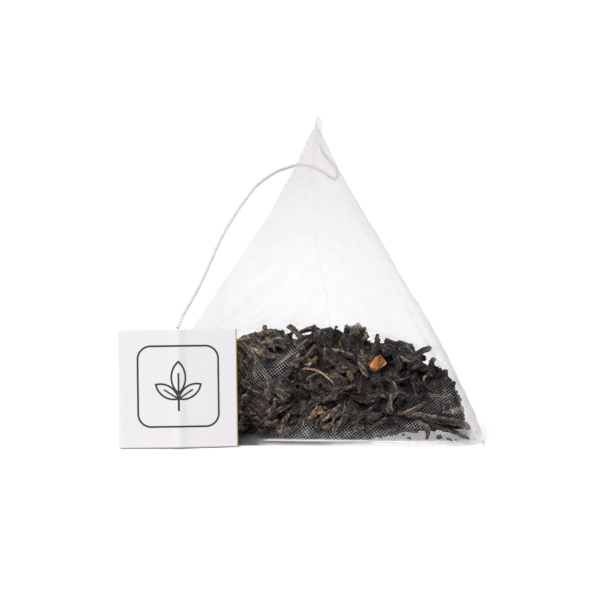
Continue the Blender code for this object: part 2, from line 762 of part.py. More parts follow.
def add_tag(finish):
    """The folded card, drawn up from its section and leaned back on its lower edge."""
    outline, slot = tag_profile()
    across, back, up, foot = tag_frame()
    loops = [outline, slot]
    flat = [point for loop in loops for point in loop]
    caps = tessellate_polygon([[Vector((x, y, 0)) for x, y in loop] for loop in loops])
    points = []
    for height in (0.0, TAG_HEIGHT):
        rise = tag_foot_rise() + height
        points += [foot + across * x + back * y + up * rise for x, y in flat]
    size = len(flat)
    faces = [list(cap) for cap in caps]
    faces += [[index + size for index in reversed(cap)] for cap in caps]
    start = 0
    for loop in loops:
        for number in range(len(loop)):
            this = start + number
            following = start + (number + 1) % len(loop)
            faces.append([this, following, following + size, this + size])
        start += len(loop)
    return add_object("tag", mesh_from("tag", points, faces), finish)


def main():
    """Build every piece and centre the pouch on the origin."""
    clear_scene()
    finishes = {
        "mesh_film": material("mesh_film", (0.90, 0.90, 0.91), 0.45),
        "tea_dark": material("tea_dark", (0.035, 0.030, 0.028), 0.75),
        "bark": material("bark", (0.48, 0.20, 0.07), 0.7),
        "stem": material("stem", (0.42, 0.27, 0.15), 0.7),
        "twig": material("twig", (0.12, 0.085, 0.06), 0.75),
        "cotton": material("cotton", (0.86, 0.85, 0.84), 0.9),
        "card": material("card", (0.93, 0.93, 0.93), 0.8),
    }
    pouch = add_object("mesh_pouch", pouch_mesh(), finishes["mesh_film"], smooth=False)
    add_tea(finishes)
    add_string(finishes["cotton"])
    add_tag(finishes["card"])
    corners = np.array([corner.co for corner in pouch.data.vertices])
    middle = (corners.min(axis=0) + corners.max(axis=0)) / 2
    stand = bpy.data.objects.new("tea_bag", None)
    bpy.context.collection.objects.link(stand)
    for thing in list(bpy.data.objects):
        if thing is not stand:
            thing.parent = stand
    stand.location = (-middle[0], -middle[1], 0)


main()
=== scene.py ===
"""Pyramid tea bag, dressed: sheer woven film, rolled and broken tea leaves, a twisted cotton
string and a folded card tag, on a pale floor in soft light.

Lengths are in metres. Shapes are worked out in the bag's own frame, whose origin is the middle of
the front seal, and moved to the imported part's frame when they become meshes.
"""
import json
import math

import bpy
import numpy as np
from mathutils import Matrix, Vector

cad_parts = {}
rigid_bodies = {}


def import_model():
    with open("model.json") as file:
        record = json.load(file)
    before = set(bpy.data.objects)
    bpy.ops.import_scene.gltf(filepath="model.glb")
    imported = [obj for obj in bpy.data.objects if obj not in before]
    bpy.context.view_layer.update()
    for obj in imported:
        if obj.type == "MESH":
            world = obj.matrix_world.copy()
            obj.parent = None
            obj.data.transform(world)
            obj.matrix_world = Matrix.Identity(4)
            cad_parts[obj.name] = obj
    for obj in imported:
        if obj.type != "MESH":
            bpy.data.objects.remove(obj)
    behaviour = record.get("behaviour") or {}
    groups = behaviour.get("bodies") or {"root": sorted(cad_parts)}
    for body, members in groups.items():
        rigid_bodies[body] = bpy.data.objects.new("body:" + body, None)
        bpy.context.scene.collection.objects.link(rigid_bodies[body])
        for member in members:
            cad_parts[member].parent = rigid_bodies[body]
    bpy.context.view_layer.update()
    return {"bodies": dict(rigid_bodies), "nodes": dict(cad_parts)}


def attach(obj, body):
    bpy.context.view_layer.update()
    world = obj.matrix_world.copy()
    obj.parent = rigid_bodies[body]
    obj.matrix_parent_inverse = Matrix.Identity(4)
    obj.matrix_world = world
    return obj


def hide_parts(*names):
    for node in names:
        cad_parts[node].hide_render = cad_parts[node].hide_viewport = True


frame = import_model()

MM = 0.001
BODY = "root" if "root" in frame["bodies"] else list(frame["bodies"])[0]
BAG_PLACE = np.array([-0.146, -32.933, 0.0]) * MM

# Film
SEAL_LENGTH = 66.0 * MM
TUBE_LENGTH = 66.0 * MM
STAND_OFF = 0.346 * MM
SEAM_HALF = 0.07 * MM
SEAM_RAMP = 5.0 * MM
FILM_THICKNESS = 0.1 * MM
CREASE_INSET = 0.3 * MM
FOLD_ROUND = 0.55 * MM
FRONT_SWELL = 1.6 * MM
RIGHT_SWELL = -0.5 * MM
RIGHT_PINCH = 1.15 * MM
RIGHT_BULGE = 5.6 * MM
RIGHT_BULGE_POWER = 0.45
LEFT_SWELL = 0.4 * MM
LEFT_PINCH = 2.2 * MM
LEFT_BULGE = 3.2 * MM
LEFT_BULGE_POWER = 0.6
SWELL_POWER = 0.7
PINCH_POWER = 2.0
LIFT_SHARE = 0.09
SEAL_LIFT = 0.22 * MM
FIN_WIDTH = 2.8 * MM
FIN_DROP = math.radians(9)
FIN_WAVE = 0.22 * MM
FIN_WAVES = 2.5
FIN_CURL = 1.3 * MM
REAR_SEAM_SWAY = 1.3 * MM
RIPPLE = 0.09 * MM
DENT = 0.07 * MM
FLOOR_GAP = 0.02 * MM
FILM_AROUND = 260
FILM_ALONG = 140

# Weave of the film
WEAVE_PITCH = 0.47 * MM
WEAVE_TURN = math.radians(37.5)
WELD_HALF = 0.22 * MM

# Painted shade along the front seal, in millimetres, and haze as shares of the apex's height
SEAL_SHADE_PLACE = 1.0
SEAL_SHADE_HALF = 0.65
HAZE_START = 0.38
HAZE_SPAN = 0.55

# Tea
HEAP_HEIGHT = 20.0 * MM
HEAP_SHOULDER = 0.515
HEAP_SHOULDER_POWER = 3
HEAP_SHOULDER_PLACE = 27.0 * MM
HEAP_SLOPE = math.radians(24)
HEAP_INSET = 2.3 * MM
HEAP_REACH = 30.7 * MM
HEAP_REACH_FALL = 0.24
HEAP_ROUGH = 0.25 * MM
HEAP_GRID = (70, 90)
HEAP_SPAN = (0.085, 0.74)
HEAP_CORNER = 0.45
RIGHT_DARKER = 0.78
LEAF_CLEARANCE = 0.22 * MM
TOE_START = 9.0 * MM
TOE_FULL = 17.0 * MM
TOE_RISE = 2.2 * MM
TOE_FALL = math.tan(math.radians(7))

# Where looks change across, up or along the bag: start and width of each change in millimetres
FADES = {
    "tag_shadow_end": (-9.6, 3.0), "weld_end": (10.5, 3.0), "rear_fin": (0.0, 0.3), "beak": (53.0, 3.0),
    "seal_shade_end": (1.0, 6.0), "off_floor": (0.6, 1.4), "fin_edge": (1.4, 0.8),
    "fin_right": (3.0, 9.0), "fin_end": (30.0, 2.0), "front_rim": (0.0, 2.0),
    "under_toe": (-0.6, 1.2), "toe": (TOE_START / MM, 4.0), "past_leaves": (-0.96, 1.2),
    "over_heap": (-0.64, 1.6), "beak_foot": (49.0, 3.0), "beak_side": (1.8, 1.0),
    "side_rim": (-0.75, 1.5), "flank_rim": (0.0, 1.0), "flank_back": (6.0, 6.0),
    "flank_top": (40.0, 7.0), "flank_foot": (6.0, 26.0), "glow_end": (22.0, 8.0),
    "dark_right": (6.0, 15.0), "curl_start": (0.0, 2.5), "curl_end": (5.0, 8.0),
}

# String
STRING_DIAMETER = 0.65 * MM
STRING_LAY = 2.1 * MM
STRING_GAP = 0.3 * MM
STRING_STEP = 0.14 * MM
STRING_SIDES = 24
HAIR_COUNT = 900
HAIR_WIDTH = 0.022 * MM
STRING_ROUTE_MM = (
    (0.8, 36.9, 52.6), (0.85, 37.7, 51.75), (1.2, 38.5, 50.9), (1.75, 39.0, 50.04),
    (2.53, 39.3, 49.14), (3.31, 39.4, 48.16), (3.82, 39.6, 47.17), (3.87, 40.2, 46.14),
    (3.22, 41.2, 45.56), (2.19, 42.2, 45.96), (0.69, 42.8, 46.98), (-1.08, 42.9, 47.69),
    (-2.81, 42.2, 48.15), (-4.38, 40.8, 48.24), (-6.28, 38.4, 47.81), (-8.2, 35.6, 47.2),
    (-11.1, 30.2, 45.3), (-12.7, 26.6, 43.3), (-14.5, 22.2, 40.8), (-16.8, 16.3, 36.7),
    (-18.2, 11.6, 33.2), (-19.8, 6.2, 29.3), (-21.3, 0.7, 26.2), (-22.4, -2.8, 24.1),
)

# Tag
TAG_WIDTH = 21.8 * MM
TAG_HEIGHT = 21.6 * MM
TAG_CARD = 0.28 * MM
TAG_SLOT = 0.3 * MM
TAG_MOUTH = 0.7 * MM
TAG_WELD_WIDTH = 7.0 * MM
TAG_RIDGE_WIDTH = 1.8 * MM
TAG_RIDGE_HEIGHT = 0.35 * MM
TAG_VEE = 1.1 * MM
TAG_WARP = 0.12 * MM
TAG_STEPS = 90
TAG_TURN = math.radians(9.4)
TAG_LEAN = math.radians(8.0)
TAG_PLACE = (-22.7 * MM, -7.6 * MM)

# Print on the tag, in millimetres on its face: leaves by root, turn, half length and half width
INK_LINE = 0.36
LINE_BLUR = 0.04
SPRIG_HEIGHT = 11.2
FRAME_HALF = 7.4
FRAME_ROUND = 2.4
SPRIG_LEAVES = (((0.0, -1.3), 0.0, 2.9, 1.25), ((0.0, -2.3), 1.0, 2.45, 1.05),
                ((0.0, -2.3), -1.0, 2.45, 1.05))

# Camera: where it looks, from which side and how far
VIEW_TARGET = (-1.77 * MM, -22.93 * MM, 25.56 * MM)
VIEW_AZIMUTH = math.radians(3.5)
VIEW_ELEVATION = math.radians(7.0)
VIEW_DISTANCE = 650.0 * MM
VIEW_LENS = 208.5
VIEW_SENSOR = 36.0

# Floor and light
FLOOR_HALF = 6.0
SKY_STRENGTH = 0.79
KEY_STRENGTH = 1.8
KEY_SPREAD = math.radians(20)
KEY_AZIMUTH = math.radians(-24)
KEY_ELEVATION = math.radians(47)

# Worked out from the sizes above
HALF_SLOPE = math.asin(SEAL_LENGTH / (2 * TUBE_LENGTH))
AXIS = np.array([0.0, math.cos(HALF_SLOPE), math.sin(HALF_SLOPE)])
RISE = np.array([0.0, -math.sin(HALF_SLOPE), math.cos(HALF_SLOPE)])
SIDE = np.array([1.0, 0.0, 0.0])
UP = np.array([0.0, 0.0, 1.0])
AXIS_LENGTH = TUBE_LENGTH * math.cos(HALF_SLOPE)
APEX_HEIGHT = TUBE_LENGTH * math.cos(HALF_SLOPE)
QUARTER = SEAL_LENGTH / 2 + 2 * STAND_OFF
AROUND = 4 * QUARTER
HEAP_FRONT = HEAP_HEIGHT / math.tan(2 * HALF_SLOPE)
FACE_OUT = np.array([0.0, -math.sin(2 * HALF_SLOPE), math.cos(2 * HALF_SLOPE)])
SLOPE_OUT = np.array([0.0, math.sin(HEAP_SLOPE), math.cos(HEAP_SLOPE)])


# Meshes


def smooth_step(value):
    """From 0 to 1 along the cubic 3v^2 - 2v^3, and flat outside."""
    held = np.clip(value, 0.0, 1.0)
    return held * held * (3 - 2 * held)


def fade(name, value):
    """From 0 to 1 as a value passes a named place over its width."""
    start, width = FADES[name]
    return smooth_step((value - start * MM) / (width * MM))


def unit(vectors):
    """The same directions with a length of one."""
    return vectors / np.linalg.norm(vectors, axis=-1, keepdims=True)


def cloud(points, size, seed):
    """Smooth noise from -1 to 1: random values on a lattice of a given size, eased between."""
    place = points / size + 500.0
    cell = np.floor(place)
    share = smooth_step(place - cell)
    total = 0.0
    for corner in np.ndindex(2, 2, 2):
        at = cell + np.array(corner)
        value = np.sin(at @ np.array([12.9898, 78.233, 37.719]) + seed) * 43758.5453
        weight = np.prod(np.where(np.array(corner) == 1, share, 1 - share), axis=-1)
        total = total + weight * (2 * (value - np.floor(value)) - 1)
    return total


def turns(sides):
    """Even angles round a full turn."""
    return np.linspace(0, 2 * np.pi, sides, endpoint=False)


def grid_faces(rows, columns, wrap):
    """Quads of a grid of points in rows, closed across the columns where it wraps."""
    row, column = np.meshgrid(np.arange(rows - 1), np.arange(columns - (not wrap)), indexing="ij")
    first = row * columns + column
    second = row * columns + (column + 1) % columns
    return np.stack([first, second, second + columns, first + columns], axis=-1).reshape(-1, 4)


def grid_corners(rows, columns):
    """Column and row numbers of each quad's four corners, where the columns don't start again."""
    row = np.repeat(np.arange(rows - 1), columns)[:, None]
    column = np.tile(np.arange(columns), rows - 1)[:, None]
    return column + np.array([0, 1, 1, 0]), row + np.array([0, 0, 1, 1])


def end_caps(rows, sides):
    """The two faces that close a tube of rings."""
    return [list(range(sides))[::-1], list(range((rows - 1) * sides, rows * sides))]


def new_object(name, data):
    """An object at the origin, linked to the scene."""
    made = bpy.data.objects.new(name, data)
    bpy.context.collection.objects.link(made)
    return made


def add_piece(name, points, faces, finishes, corner_uv=None, attributes=None):
    """A mesh object from points in the bag's frame, with its finishes and its own attributes."""
    mesh = bpy.data.meshes.new(name)
    mesh.from_pydata((points + BAG_PLACE).tolist(), [], faces)
    for finish in finishes:
        mesh.materials.append(finish)
    if corner_uv is not None:
        layer = mesh.uv_layers.new(name="flat")
        layer.data.foreach_set("uv", np.ascontiguousarray(corner_uv, dtype=np.float32).ravel())
    for key, values in (attributes or {}).items():
        layer = mesh.attributes.new(key, "FLOAT", "POINT")
        layer.data.foreach_set("value", np.ascontiguousarray(values, dtype=np.float32).ravel())
    mesh.shade_smooth()
    mesh.update()
    piece = new_object(name, mesh)
    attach(piece, BODY)
    return piece


# Film


def soft_limit(value, limit, blend):
    """The value held within plus or minus the limit, bent in along a parabola near it."""
    size = np.abs(value)
    left = np.clip(limit + blend - size, 0, 2 * blend)
    bent = np.where(size < limit - blend, size, limit - left ** 2 / (4 * blend))
    return np.sign(value) * bent


def fold_wave(around):
    """A wave of straight flanks that runs once round the tube, a quarter tube high."""
    return QUARTER - np.abs((around + QUARTER) % AROUND - 2 * QUARTER)


def section_size(share):
    """Half the section's width and height: they trade places along the tube, plus the film's
    stand-off, which thins towards both seals.
    """
    seam = smooth_step(np.minimum(share, 1 - share) * TUBE_LENGTH / SEAM_RAMP)
    stand_off = SEAM_HALF + (STAND_OFF - SEAM_HALF) * seam
    half = SEAL_LENGTH / 2
    return stand_off + half * (1 - share), stand_off + half * share


def side_reach(across, rise, share):
    """How far the sides stand out from the flat section: the fold edges follow a swell less a
    pinch, and between them the side bulges as (1 - rise^2) to a power under one.
    """
    right = across > 0
    low = share ** SWELL_POWER
    high = share ** PINCH_POWER
    edge = np.where(right, RIGHT_SWELL, LEFT_SWELL) * 4 * low * (1 - low)
    edge = edge - np.where(right, RIGHT_PINCH, LEFT_PINCH) * 4 * high * (1 - high)
    bulge = np.where(right, RIGHT_BULGE, LEFT_BULGE)
    power = np.where(right, RIGHT_BULGE_POWER, LEFT_BULGE_POWER)
    open_part = np.maximum(1 - rise ** 2, 0) ** power
    return edge, bulge * open_part * 4 * share * (1 - share)


def front_bow(wide, share):
    """How far the front face bows out at a share of the section's half width."""
    return FRONT_SWELL * (1 - wide ** 2) * 4 * share * (1 - share)


def seam_lift(share):
    """Height of the section over the floor: raised at the front seal, whose fin bends down."""
    raised = SEAL_LIFT * np.clip(1 - share / LIFT_SHARE, 0, 1) ** 2
    return raised + STAND_OFF * math.cos(HALF_SLOPE)


def rear_sway(rise, share):
    """Sideways wave of the rear seal: one full turn from the apex to the floor, fading forwards."""
    down = (1 - rise) / 2
    turn = 2 * math.pi * 0.98 * np.clip(down, 0, 1) ** 1.15
    fade = smooth_step((share - 0.72) / 0.28)
    return -REAR_SEAM_SWAY * np.sin(turn) * fade


def bag_point(share, x, c):
    """A point from its share of the bag's axis, its way aside and its way up the section."""
    return (np.multiply.outer(share * AXIS_LENGTH, AXIS) + np.multiply.outer(x, SIDE)
            + np.multiply.outer(c, RISE))


def film_point(around, length):
    """A point of the film from its place round the tube and along it.

    Width and height follow two straight waves a quarter turn apart, held to the section's size.
    Past either seal the film goes on as a flat fin.
    """
    share = np.clip(length / TUBE_LENGTH, 0.0, 1.0)
    wide, tall = section_size(share)
    reach = (wide + tall) / QUARTER
    blend = np.minimum(FOLD_ROUND, 0.8 * np.minimum(wide, tall))
    across = soft_limit(fold_wave(around) * reach, wide, blend) / wide
    rise = soft_limit(fold_wave(around + QUARTER) * reach, tall, blend) / tall
    edge, bulge = side_reach(across, rise, share)
    x = across * (wide + edge + bulge) + rear_sway(rise, share)
    c = rise * tall + (1 + rise) / 2 * front_bow(np.abs(across), share)
    points = bag_point(share, x, c) + np.multiply.outer(seam_lift(share), UP)
    front = np.maximum(-length, 0)
    wave = FIN_WAVE * (0.5 - 0.5 * np.cos(2 * np.pi * FIN_WAVES * x / SEAL_LENGTH))
    down = front * math.sin(FIN_DROP) - wave * front / FIN_WIDTH
    points += np.multiply.outer(-front * math.cos(FIN_DROP), np.array([0.0, 1.0, 0.0]))
    points += np.multiply.outer(-down, UP)
    rear = np.maximum(length - TUBE_LENGTH, 0)
    down = (1 - rise) / 2 * SEAL_LENGTH
    curl = fade("curl_start", down) * (1 - fade("curl_end", down))
    curl = FIN_CURL * curl * rear / FIN_WIDTH
    return points + np.multiply.outer(rear, AXIS) + np.multiply.outer(curl, SIDE)


def grid_normals(points):
    """Unit normals of a grid that closes across its columns, from its two directions."""
    across = np.roll(points, -1, axis=1) - np.roll(points, 1, axis=1)
    normals = np.cross(across, np.gradient(points, axis=0))
    return normals / np.maximum(np.linalg.norm(normals, axis=-1, keepdims=True), 1e-12)


def film_ripple(around, length):
    """Slow waves of the loose film and small dents where leaves press it from inside."""
    a = around / MM
    b = length / MM
    slow = np.sin(0.31 * a + 0.17 * b) * np.sin(0.13 * a - 0.23 * b + 1.1)
    slow += 0.5 * np.sin(0.52 * b + 0.21 * a + 2.0) + 0.4 * np.sin(0.83 * a - 0.1 * b)
    dents = np.sin(1.15 * a + 0.4 * b) * np.sin(1.3 * b - 0.5 * a + 0.7)
    share = np.clip(length / TUBE_LENGTH, 0, 1)
    calm = smooth_step(np.minimum(share, 1 - share) / 0.12)
    return calm * (RIPPLE * slow + DENT * dents)


def spots(places, x, z):
    """The strongest of several round spots, each fading as a bell from its place."""
    total = np.zeros_like(x)
    for place_x, place_z, wide, high, strength in places:
        away = ((x - place_x * MM) / (wide * MM)) ** 2 + ((z - place_z * MM) / (high * MM)) ** 2
        total = np.maximum(total, strength * np.exp(-away))
    return total


# Where the film touches leaves and its threads catch the light: place on the front face across and
# up, half width, half height (all in millimetres) and strength
GLINT_PLACES = (
    (-9.2, 11.9, 2.8, 2.0, 0.55), (-6.7, 12.3, 1.3, 1.1, 0.5), (-5.3, 13.2, 1.2, 1.3, 0.75),
    (-4.1, 14.4, 1.1, 1.3, 0.65), (-3.0, 15.9, 1.1, 1.4, 0.5), (-2.1, 17.7, 1.0, 1.4, 0.4),
    (0.1, 2.0, 1.5, 1.3, 1.1), (-4.8, 0.9, 2.0, 0.9, 0.6), (-1.6, 1.0, 2.0, 0.9, 0.8),
    (3.0, 1.2, 2.2, 0.9, 0.7), (5.2, 1.4, 2.0, 0.9, 0.6), (7.7, 1.7, 2.0, 1.3, 0.6),
    (5.6, 0.9, 2.4, 0.8, 0.95), (10.6, 1.1, 2.2, 0.7, 0.8), (13.8, 1.8, 2.4, 1.0, 0.7),
    (20.0, 3.3, 2.6, 0.8, 0.6), (24.5, 7.8, 1.8, 1.6, 0.45),
    (26.4, 8.9, 1.3, 2.2, 0.55), (27.8, 5.6, 1.2, 1.2, 0.5), (22.9, 5.6, 1.6, 1.0, 0.35),
)

# Where leaves stand up above the heap and the film before them is clear: same columns
CLEAR_PLACES = ((21.9, 16.3, 1.9, 1.5, 0.85), (-3.5, 21.0, 1.8, 1.2, 0.75),
                (10.1, 18.9, 1.0, 1.0, 0.6), (-8.5, 20.9, 1.0, 1.0, 0.6))

# Where the upper film is clearest, for the light that falls through it: same columns
LIGHT_PLACES = ((-7.5, 25.0, 7.5, 11.0, 1.0),)


def film_looks(points, around, length):
    """What each point of the film shows, mostly from 0 to 1: milk where no tea lies behind, haze
    towards the apex, glints over the tea, flanks, fins, painted light on the front fin and on the
    base under the heap's toe, painted shade along the front seal and the tag's painted shadow.
    """
    x, z = points[..., 0], points[..., 2]
    wide, tall = section_size(np.clip(length / TUBE_LENGTH, 0, 1))
    fold = QUARTER * wide / (wide + tall)
    before_fold = fold - np.abs(around)
    past_fold = np.abs((around + 2 * QUARTER) % AROUND - 2 * QUARTER) - fold
    on_front = before_fold > 0
    # Beside the tag lies its painted shadow, where the weld, the painted shade and the fin's
    # painted light stop.
    out_of_tag_shadow = fade("tag_shadow_end", x)
    weld = np.exp(-(length / WELD_HALF) ** 2) * out_of_tag_shadow * (1 - 0.6 * fade("weld_end", x))
    rear = fade("rear_fin", length - TUBE_LENGTH) * (1 - 0.4 * fade("beak", z))
    # Painted shade: a dark strip just under the front seal, where the fin lies in shade, fading to
    # the right.
    sway = 0.22 * np.sin(0.55 * x / MM) + 0.15 * np.sin(1.3 * x / MM + 1.0)
    seal_shade = np.exp(-((length / MM + SEAL_SHADE_PLACE + sway) / SEAL_SHADE_HALF) ** 2)
    seal_shade = seal_shade * (1 - 0.85 * fade("seal_shade_end", x)) * out_of_tag_shadow
    # Painted shadow of the tag: the film low down beside the tag is darker and denser.
    tag_shadow = (1 - out_of_tag_shadow) * (1 - fade("off_floor", z)) * (length < TUBE_LENGTH / 2)
    # Painted light on the front fin, stronger towards its lower edge and its right end.
    shine = 0.12 + 0.75 * fade("fin_edge", -length) + 0.5 * fade("fin_right", x)
    shine = (np.minimum(shine, 1.0) + 0.5 * fade("fin_end", x)) * (length < 0) * out_of_tag_shadow
    glint = spots(GLINT_PLACES, x, z) * fade("front_rim", before_fold)
    # Painted light on the base film under the heap's toe, which lies in the heap's shade.
    bare = fade("under_toe", -over_toe(points)) * fade("toe", x)
    milk = np.maximum(bare * np.where(on_front, 0.5, 1.0), fade("past_leaves", x - right_reach(z)))
    milk = np.maximum(fade("over_heap", over_heap(points)), milk)
    milk = milk * (1 - spots(CLEAR_PLACES, x, z) * on_front)
    milk = np.maximum(milk, (length < 0) | (length > TUBE_LENGTH))
    haze = smooth_step((z / APEX_HEIGHT - HAZE_START) / HAZE_SPAN)
    haze = haze * (1 - 0.4 * fade("beak_foot", z) * fade("beak_side", x))
    at_top = fade("flank_top", z)
    low_right = 2.4 - 1.4 * fade("flank_foot", z) - 0.5 * at_top
    low_right = low_right * (1 - fade("flank_back", past_fold))
    flank = fade("flank_rim", past_fold) * np.where(x > 0, low_right, at_top)
    return {"weld": weld, "glint": glint, "milk": milk, "haze": haze,
            "side": 1 - fade("side_rim", before_fold), "flank": flank, "rear": rear,
            "seal_shade": seal_shade, "tag_shadow": tag_shadow, "low": bare * ~on_front * (length > 0), "shine": shine,
            "light": spots(LIGHT_PLACES, x, z), "glow": 1.0 - 0.65 * fade("glow_end", x)}


def add_film(finishes):
    """The pouch: one tube of film with a fin at each end, a tenth of a millimetre thick."""
    places = np.linspace(-QUARTER, 3 * QUARTER, FILM_AROUND + 1)
    fin = np.linspace(0, FIN_WIDTH, 7)
    body = np.linspace(0, TUBE_LENGTH, FILM_ALONG)
    lengths = np.concatenate([-fin[:0:-1], body, TUBE_LENGTH + fin[1:]])
    around, length = np.meshgrid(places[:-1], lengths)
    points = film_point(around, length)
    points += grid_normals(points) * film_ripple(around, length)[..., None]
    points[..., 2] = np.maximum(points[..., 2], FLOOR_GAP)
    column, row = grid_corners(*around.shape)
    film = add_piece(
        "pouch_film", points.reshape(-1, 3), grid_faces(*around.shape, True).tolist(), finishes,
        np.stack([places[column], lengths[row]], axis=-1).reshape(-1, 2) / MM,
        film_looks(points, around, length))
    wall = film.modifiers.new("wall", "SOLIDIFY")
    wall.thickness = FILM_THICKNESS
    wall.offset = -1.0
    wall.material_offset = 1
    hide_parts("mesh_pouch")


# Places inside the bag


def room_inside(points):
    """How far inside the film each point lies: the least of its ways to the front face, the
    base and the sides, each counted square to that face.
    """
    share = points @ AXIS / AXIS_LENGTH
    lowered = points - np.multiply.outer(seam_lift(share), UP)
    share = np.clip(lowered @ AXIS / AXIS_LENGTH, 1e-4, 1 - 1e-4)
    wide, tall = section_size(share)
    x = lowered @ SIDE
    c = lowered @ RISE
    rise = np.clip(c / tall, -1, 1)
    edge, bulge = side_reach(x, rise, share)
    square = math.cos(HALF_SLOPE)
    front = tall + front_bow(np.clip(np.abs(x) / wide, 0, 1), share) - c
    return square * np.minimum(np.minimum(front, c + tall), wide + edge + bulge - np.abs(x))


def heap_top(x, y):
    """Height of the heap's top: level along the front, lower at its ends, falling to the rear."""
    aside = np.abs(x / HEAP_SHOULDER_PLACE)
    front = HEAP_HEIGHT * (1 - HEAP_SHOULDER * np.minimum(aside, 1.22) ** HEAP_SHOULDER_POWER)
    return front + math.tan(HEAP_SLOPE) * (HEAP_FRONT - y)


def right_reach(z):
    """How far the leaves reach to the right at a height, short of the film beside them."""
    return HEAP_REACH - HEAP_REACH_FALL * z


def toe_height(x, y):
    """Height under which the heap's right toe stands clear of the bag's floor."""
    return TOE_RISE * smooth_step((x - TOE_START) / (TOE_FULL - TOE_START)) - y * TOE_FALL


def over_heap(points):
    """Height of points over the heap's top."""
    return points[..., 2] - heap_top(points[..., 0], points[..., 1])


def over_toe(points):
    """Height of points over the clear space under the heap's toe."""
    return points[..., 2] - toe_height(points[..., 0], points[..., 1])


# Leaves


def leaf_form(leaves, steps, sides):
    """Points and painted ridge shading of many leaves at once, as arrays of leaf, step and side.

    The spine is a line bent as s^2 both ways with a slow wobble. Round it runs an oval that keeps
    its width almost to the ends, where each side breaks off at its own length. Sharp ridges
    follow the wave sin w + sin 2w / 2 + sin 3w / 3 round the oval, which turns as it goes and is
    bent into a trough by its curl. Noise crumples it and swells or pinches it from spot to spot.
    """
    count = len(leaves["length"])
    even = np.linspace(-1, 1, steps)
    s = (0.6 * even + 0.4 * np.sin(np.pi / 2 * even))[None, :]
    turn = turns(sides)[None, None, :]

    def part(key):
        """One value for each leaf, shaped to its steps."""
        return leaves[key][:, None]

    long = part("length")
    bow = s ** 2 - 1 / 3
    aside = long * (part("bow") * bow + part("wobble") * np.sin(4.3 * s + part("phase")))
    lift = long * (part("arch") * bow + part("wobble") * np.sin(5.7 * s + 2.1 * part("phase")))
    across = np.cross(leaves["out"], leaves["along"])
    spine = leaves["center"][:, None] + (s * long / 2)[..., None] * leaves["along"][:, None]
    spine = spine + aside[..., None] * across[:, None] + lift[..., None] * leaves["out"][:, None]
    taper = (1 - part("narrow") * np.abs(s) ** 1.8) * np.sqrt(
        np.maximum(1 - np.abs(s) ** part("blunt"), 0)) * 0.94 + 0.06
    half_wide = part("width") / 2 * taper
    half_deep = part("depth") / 2 * taper
    phase = part("phase")[..., None]
    where = np.stack(np.broadcast_arrays(
        (s * long / 2)[..., None] + phase * 31 * MM,
        half_wide[..., None] * np.cos(turn) + phase * 17 * MM,
        half_wide[..., None] * np.sin(turn)), axis=-1)
    lump = 0.7 * cloud(where, 0.55 * MM, 1.3) + 0.8 * cloud(where, 0.26 * MM, 4.1)
    wave = part("folds")[..., None] * turn + phase + 2.5 * s[..., None]
    fold = (np.sin(wave) + np.sin(2 * wave) / 2 + np.sin(3 * wave) / 3) / 1.2
    swell = 1 + part("ridge")[..., None] * fold + part("ragged")[..., None] * lump
    flat_x = half_wide[..., None] * np.cos(turn) * swell
    flat_y = half_deep[..., None] * np.sin(turn) * swell
    bend = part("curl") * half_wide * (1 + 0.5 * np.sin(3.1 * s + part("phase")))
    flat_y = flat_y + bend[..., None] * (2 * np.cos(turn) ** 2 - 1)
    crumple = cloud(where[..., :1, :], 0.9 * MM, 7.7)
    flat_y = flat_y + (part("crumple") * half_wide)[..., None] * crumple
    spin = (part("roll") + part("twist") * s)[..., None]
    to_side = flat_x * np.cos(spin) - flat_y * np.sin(spin)
    to_out = flat_x * np.sin(spin) + flat_y * np.cos(spin)
    end = (np.abs(s) ** 6 * np.sign(s))[..., None]
    edge = np.stack(np.broadcast_arrays(
        1.6 * np.cos(turn) + 9 * phase, 1.6 * np.sin(turn), 3.0 * np.sign(s)[..., None]), axis=-1)
    torn = part("tear")[..., None] * part("width")[..., None] * end * cloud(edge, 1.0, 9.2)
    points = (spine[:, :, None] + to_side[..., None] * across[:, None, None]
              + to_out[..., None] * leaves["out"][:, None, None]
              + torn[..., None] * leaves["along"][:, None, None])
    # Painted light and shade: lighter on the ridges and lumps, darker in the folds.
    ridge_shading = np.clip(0.45 + 0.3 * fold + 0.35 * lump, 0, 1)
    return points.reshape(count, steps, sides, 3), ridge_shading


def leaf_points(leaves, steps, sides):
    """The leaves' points alone."""
    return leaf_form(leaves, steps, sides)[0]


def leaf_piece(name, leaves, steps, sides, finish):
    """One mesh of many leaves: tubes with closed ends, their tones and their own flat map."""
    points, ridge_shading = leaf_form(leaves, steps, sides)
    count = len(points)
    one = grid_faces(steps, sides, True)
    size = steps * sides
    starts = np.arange(count) * size
    tubes = (one[None] + starts[:, None, None]).reshape(-1, 4).tolist()
    low = (np.arange(sides)[::-1][None] + starts[:, None]).tolist()
    high = (np.arange(size - sides, size)[None] + starts[:, None]).tolist()
    column, row = grid_corners(steps, sides)
    girth = (leaves["width"] * 2 / MM)[:, None, None]
    length = (leaves["length"] / MM)[:, None, None]
    shift = (np.arange(count) * 7.3)[:, None, None]
    tube_uv = np.stack([column[None] / sides * girth + shift,
                        row[None] / (steps - 1) * length], axis=-1).reshape(-1, 2)
    cap_uv = np.zeros((2 * count * sides, 2))
    # Each leaf carries its tone and its painted light and shade on ridges and in folds.
    return add_piece(name, points.reshape(-1, 3), tubes + low + high, [finish],
                     np.concatenate([tube_uv, cap_uv]),
                     {"tone": np.repeat(leaves["tone"], size), "ridge_shading": ridge_shading.ravel()})


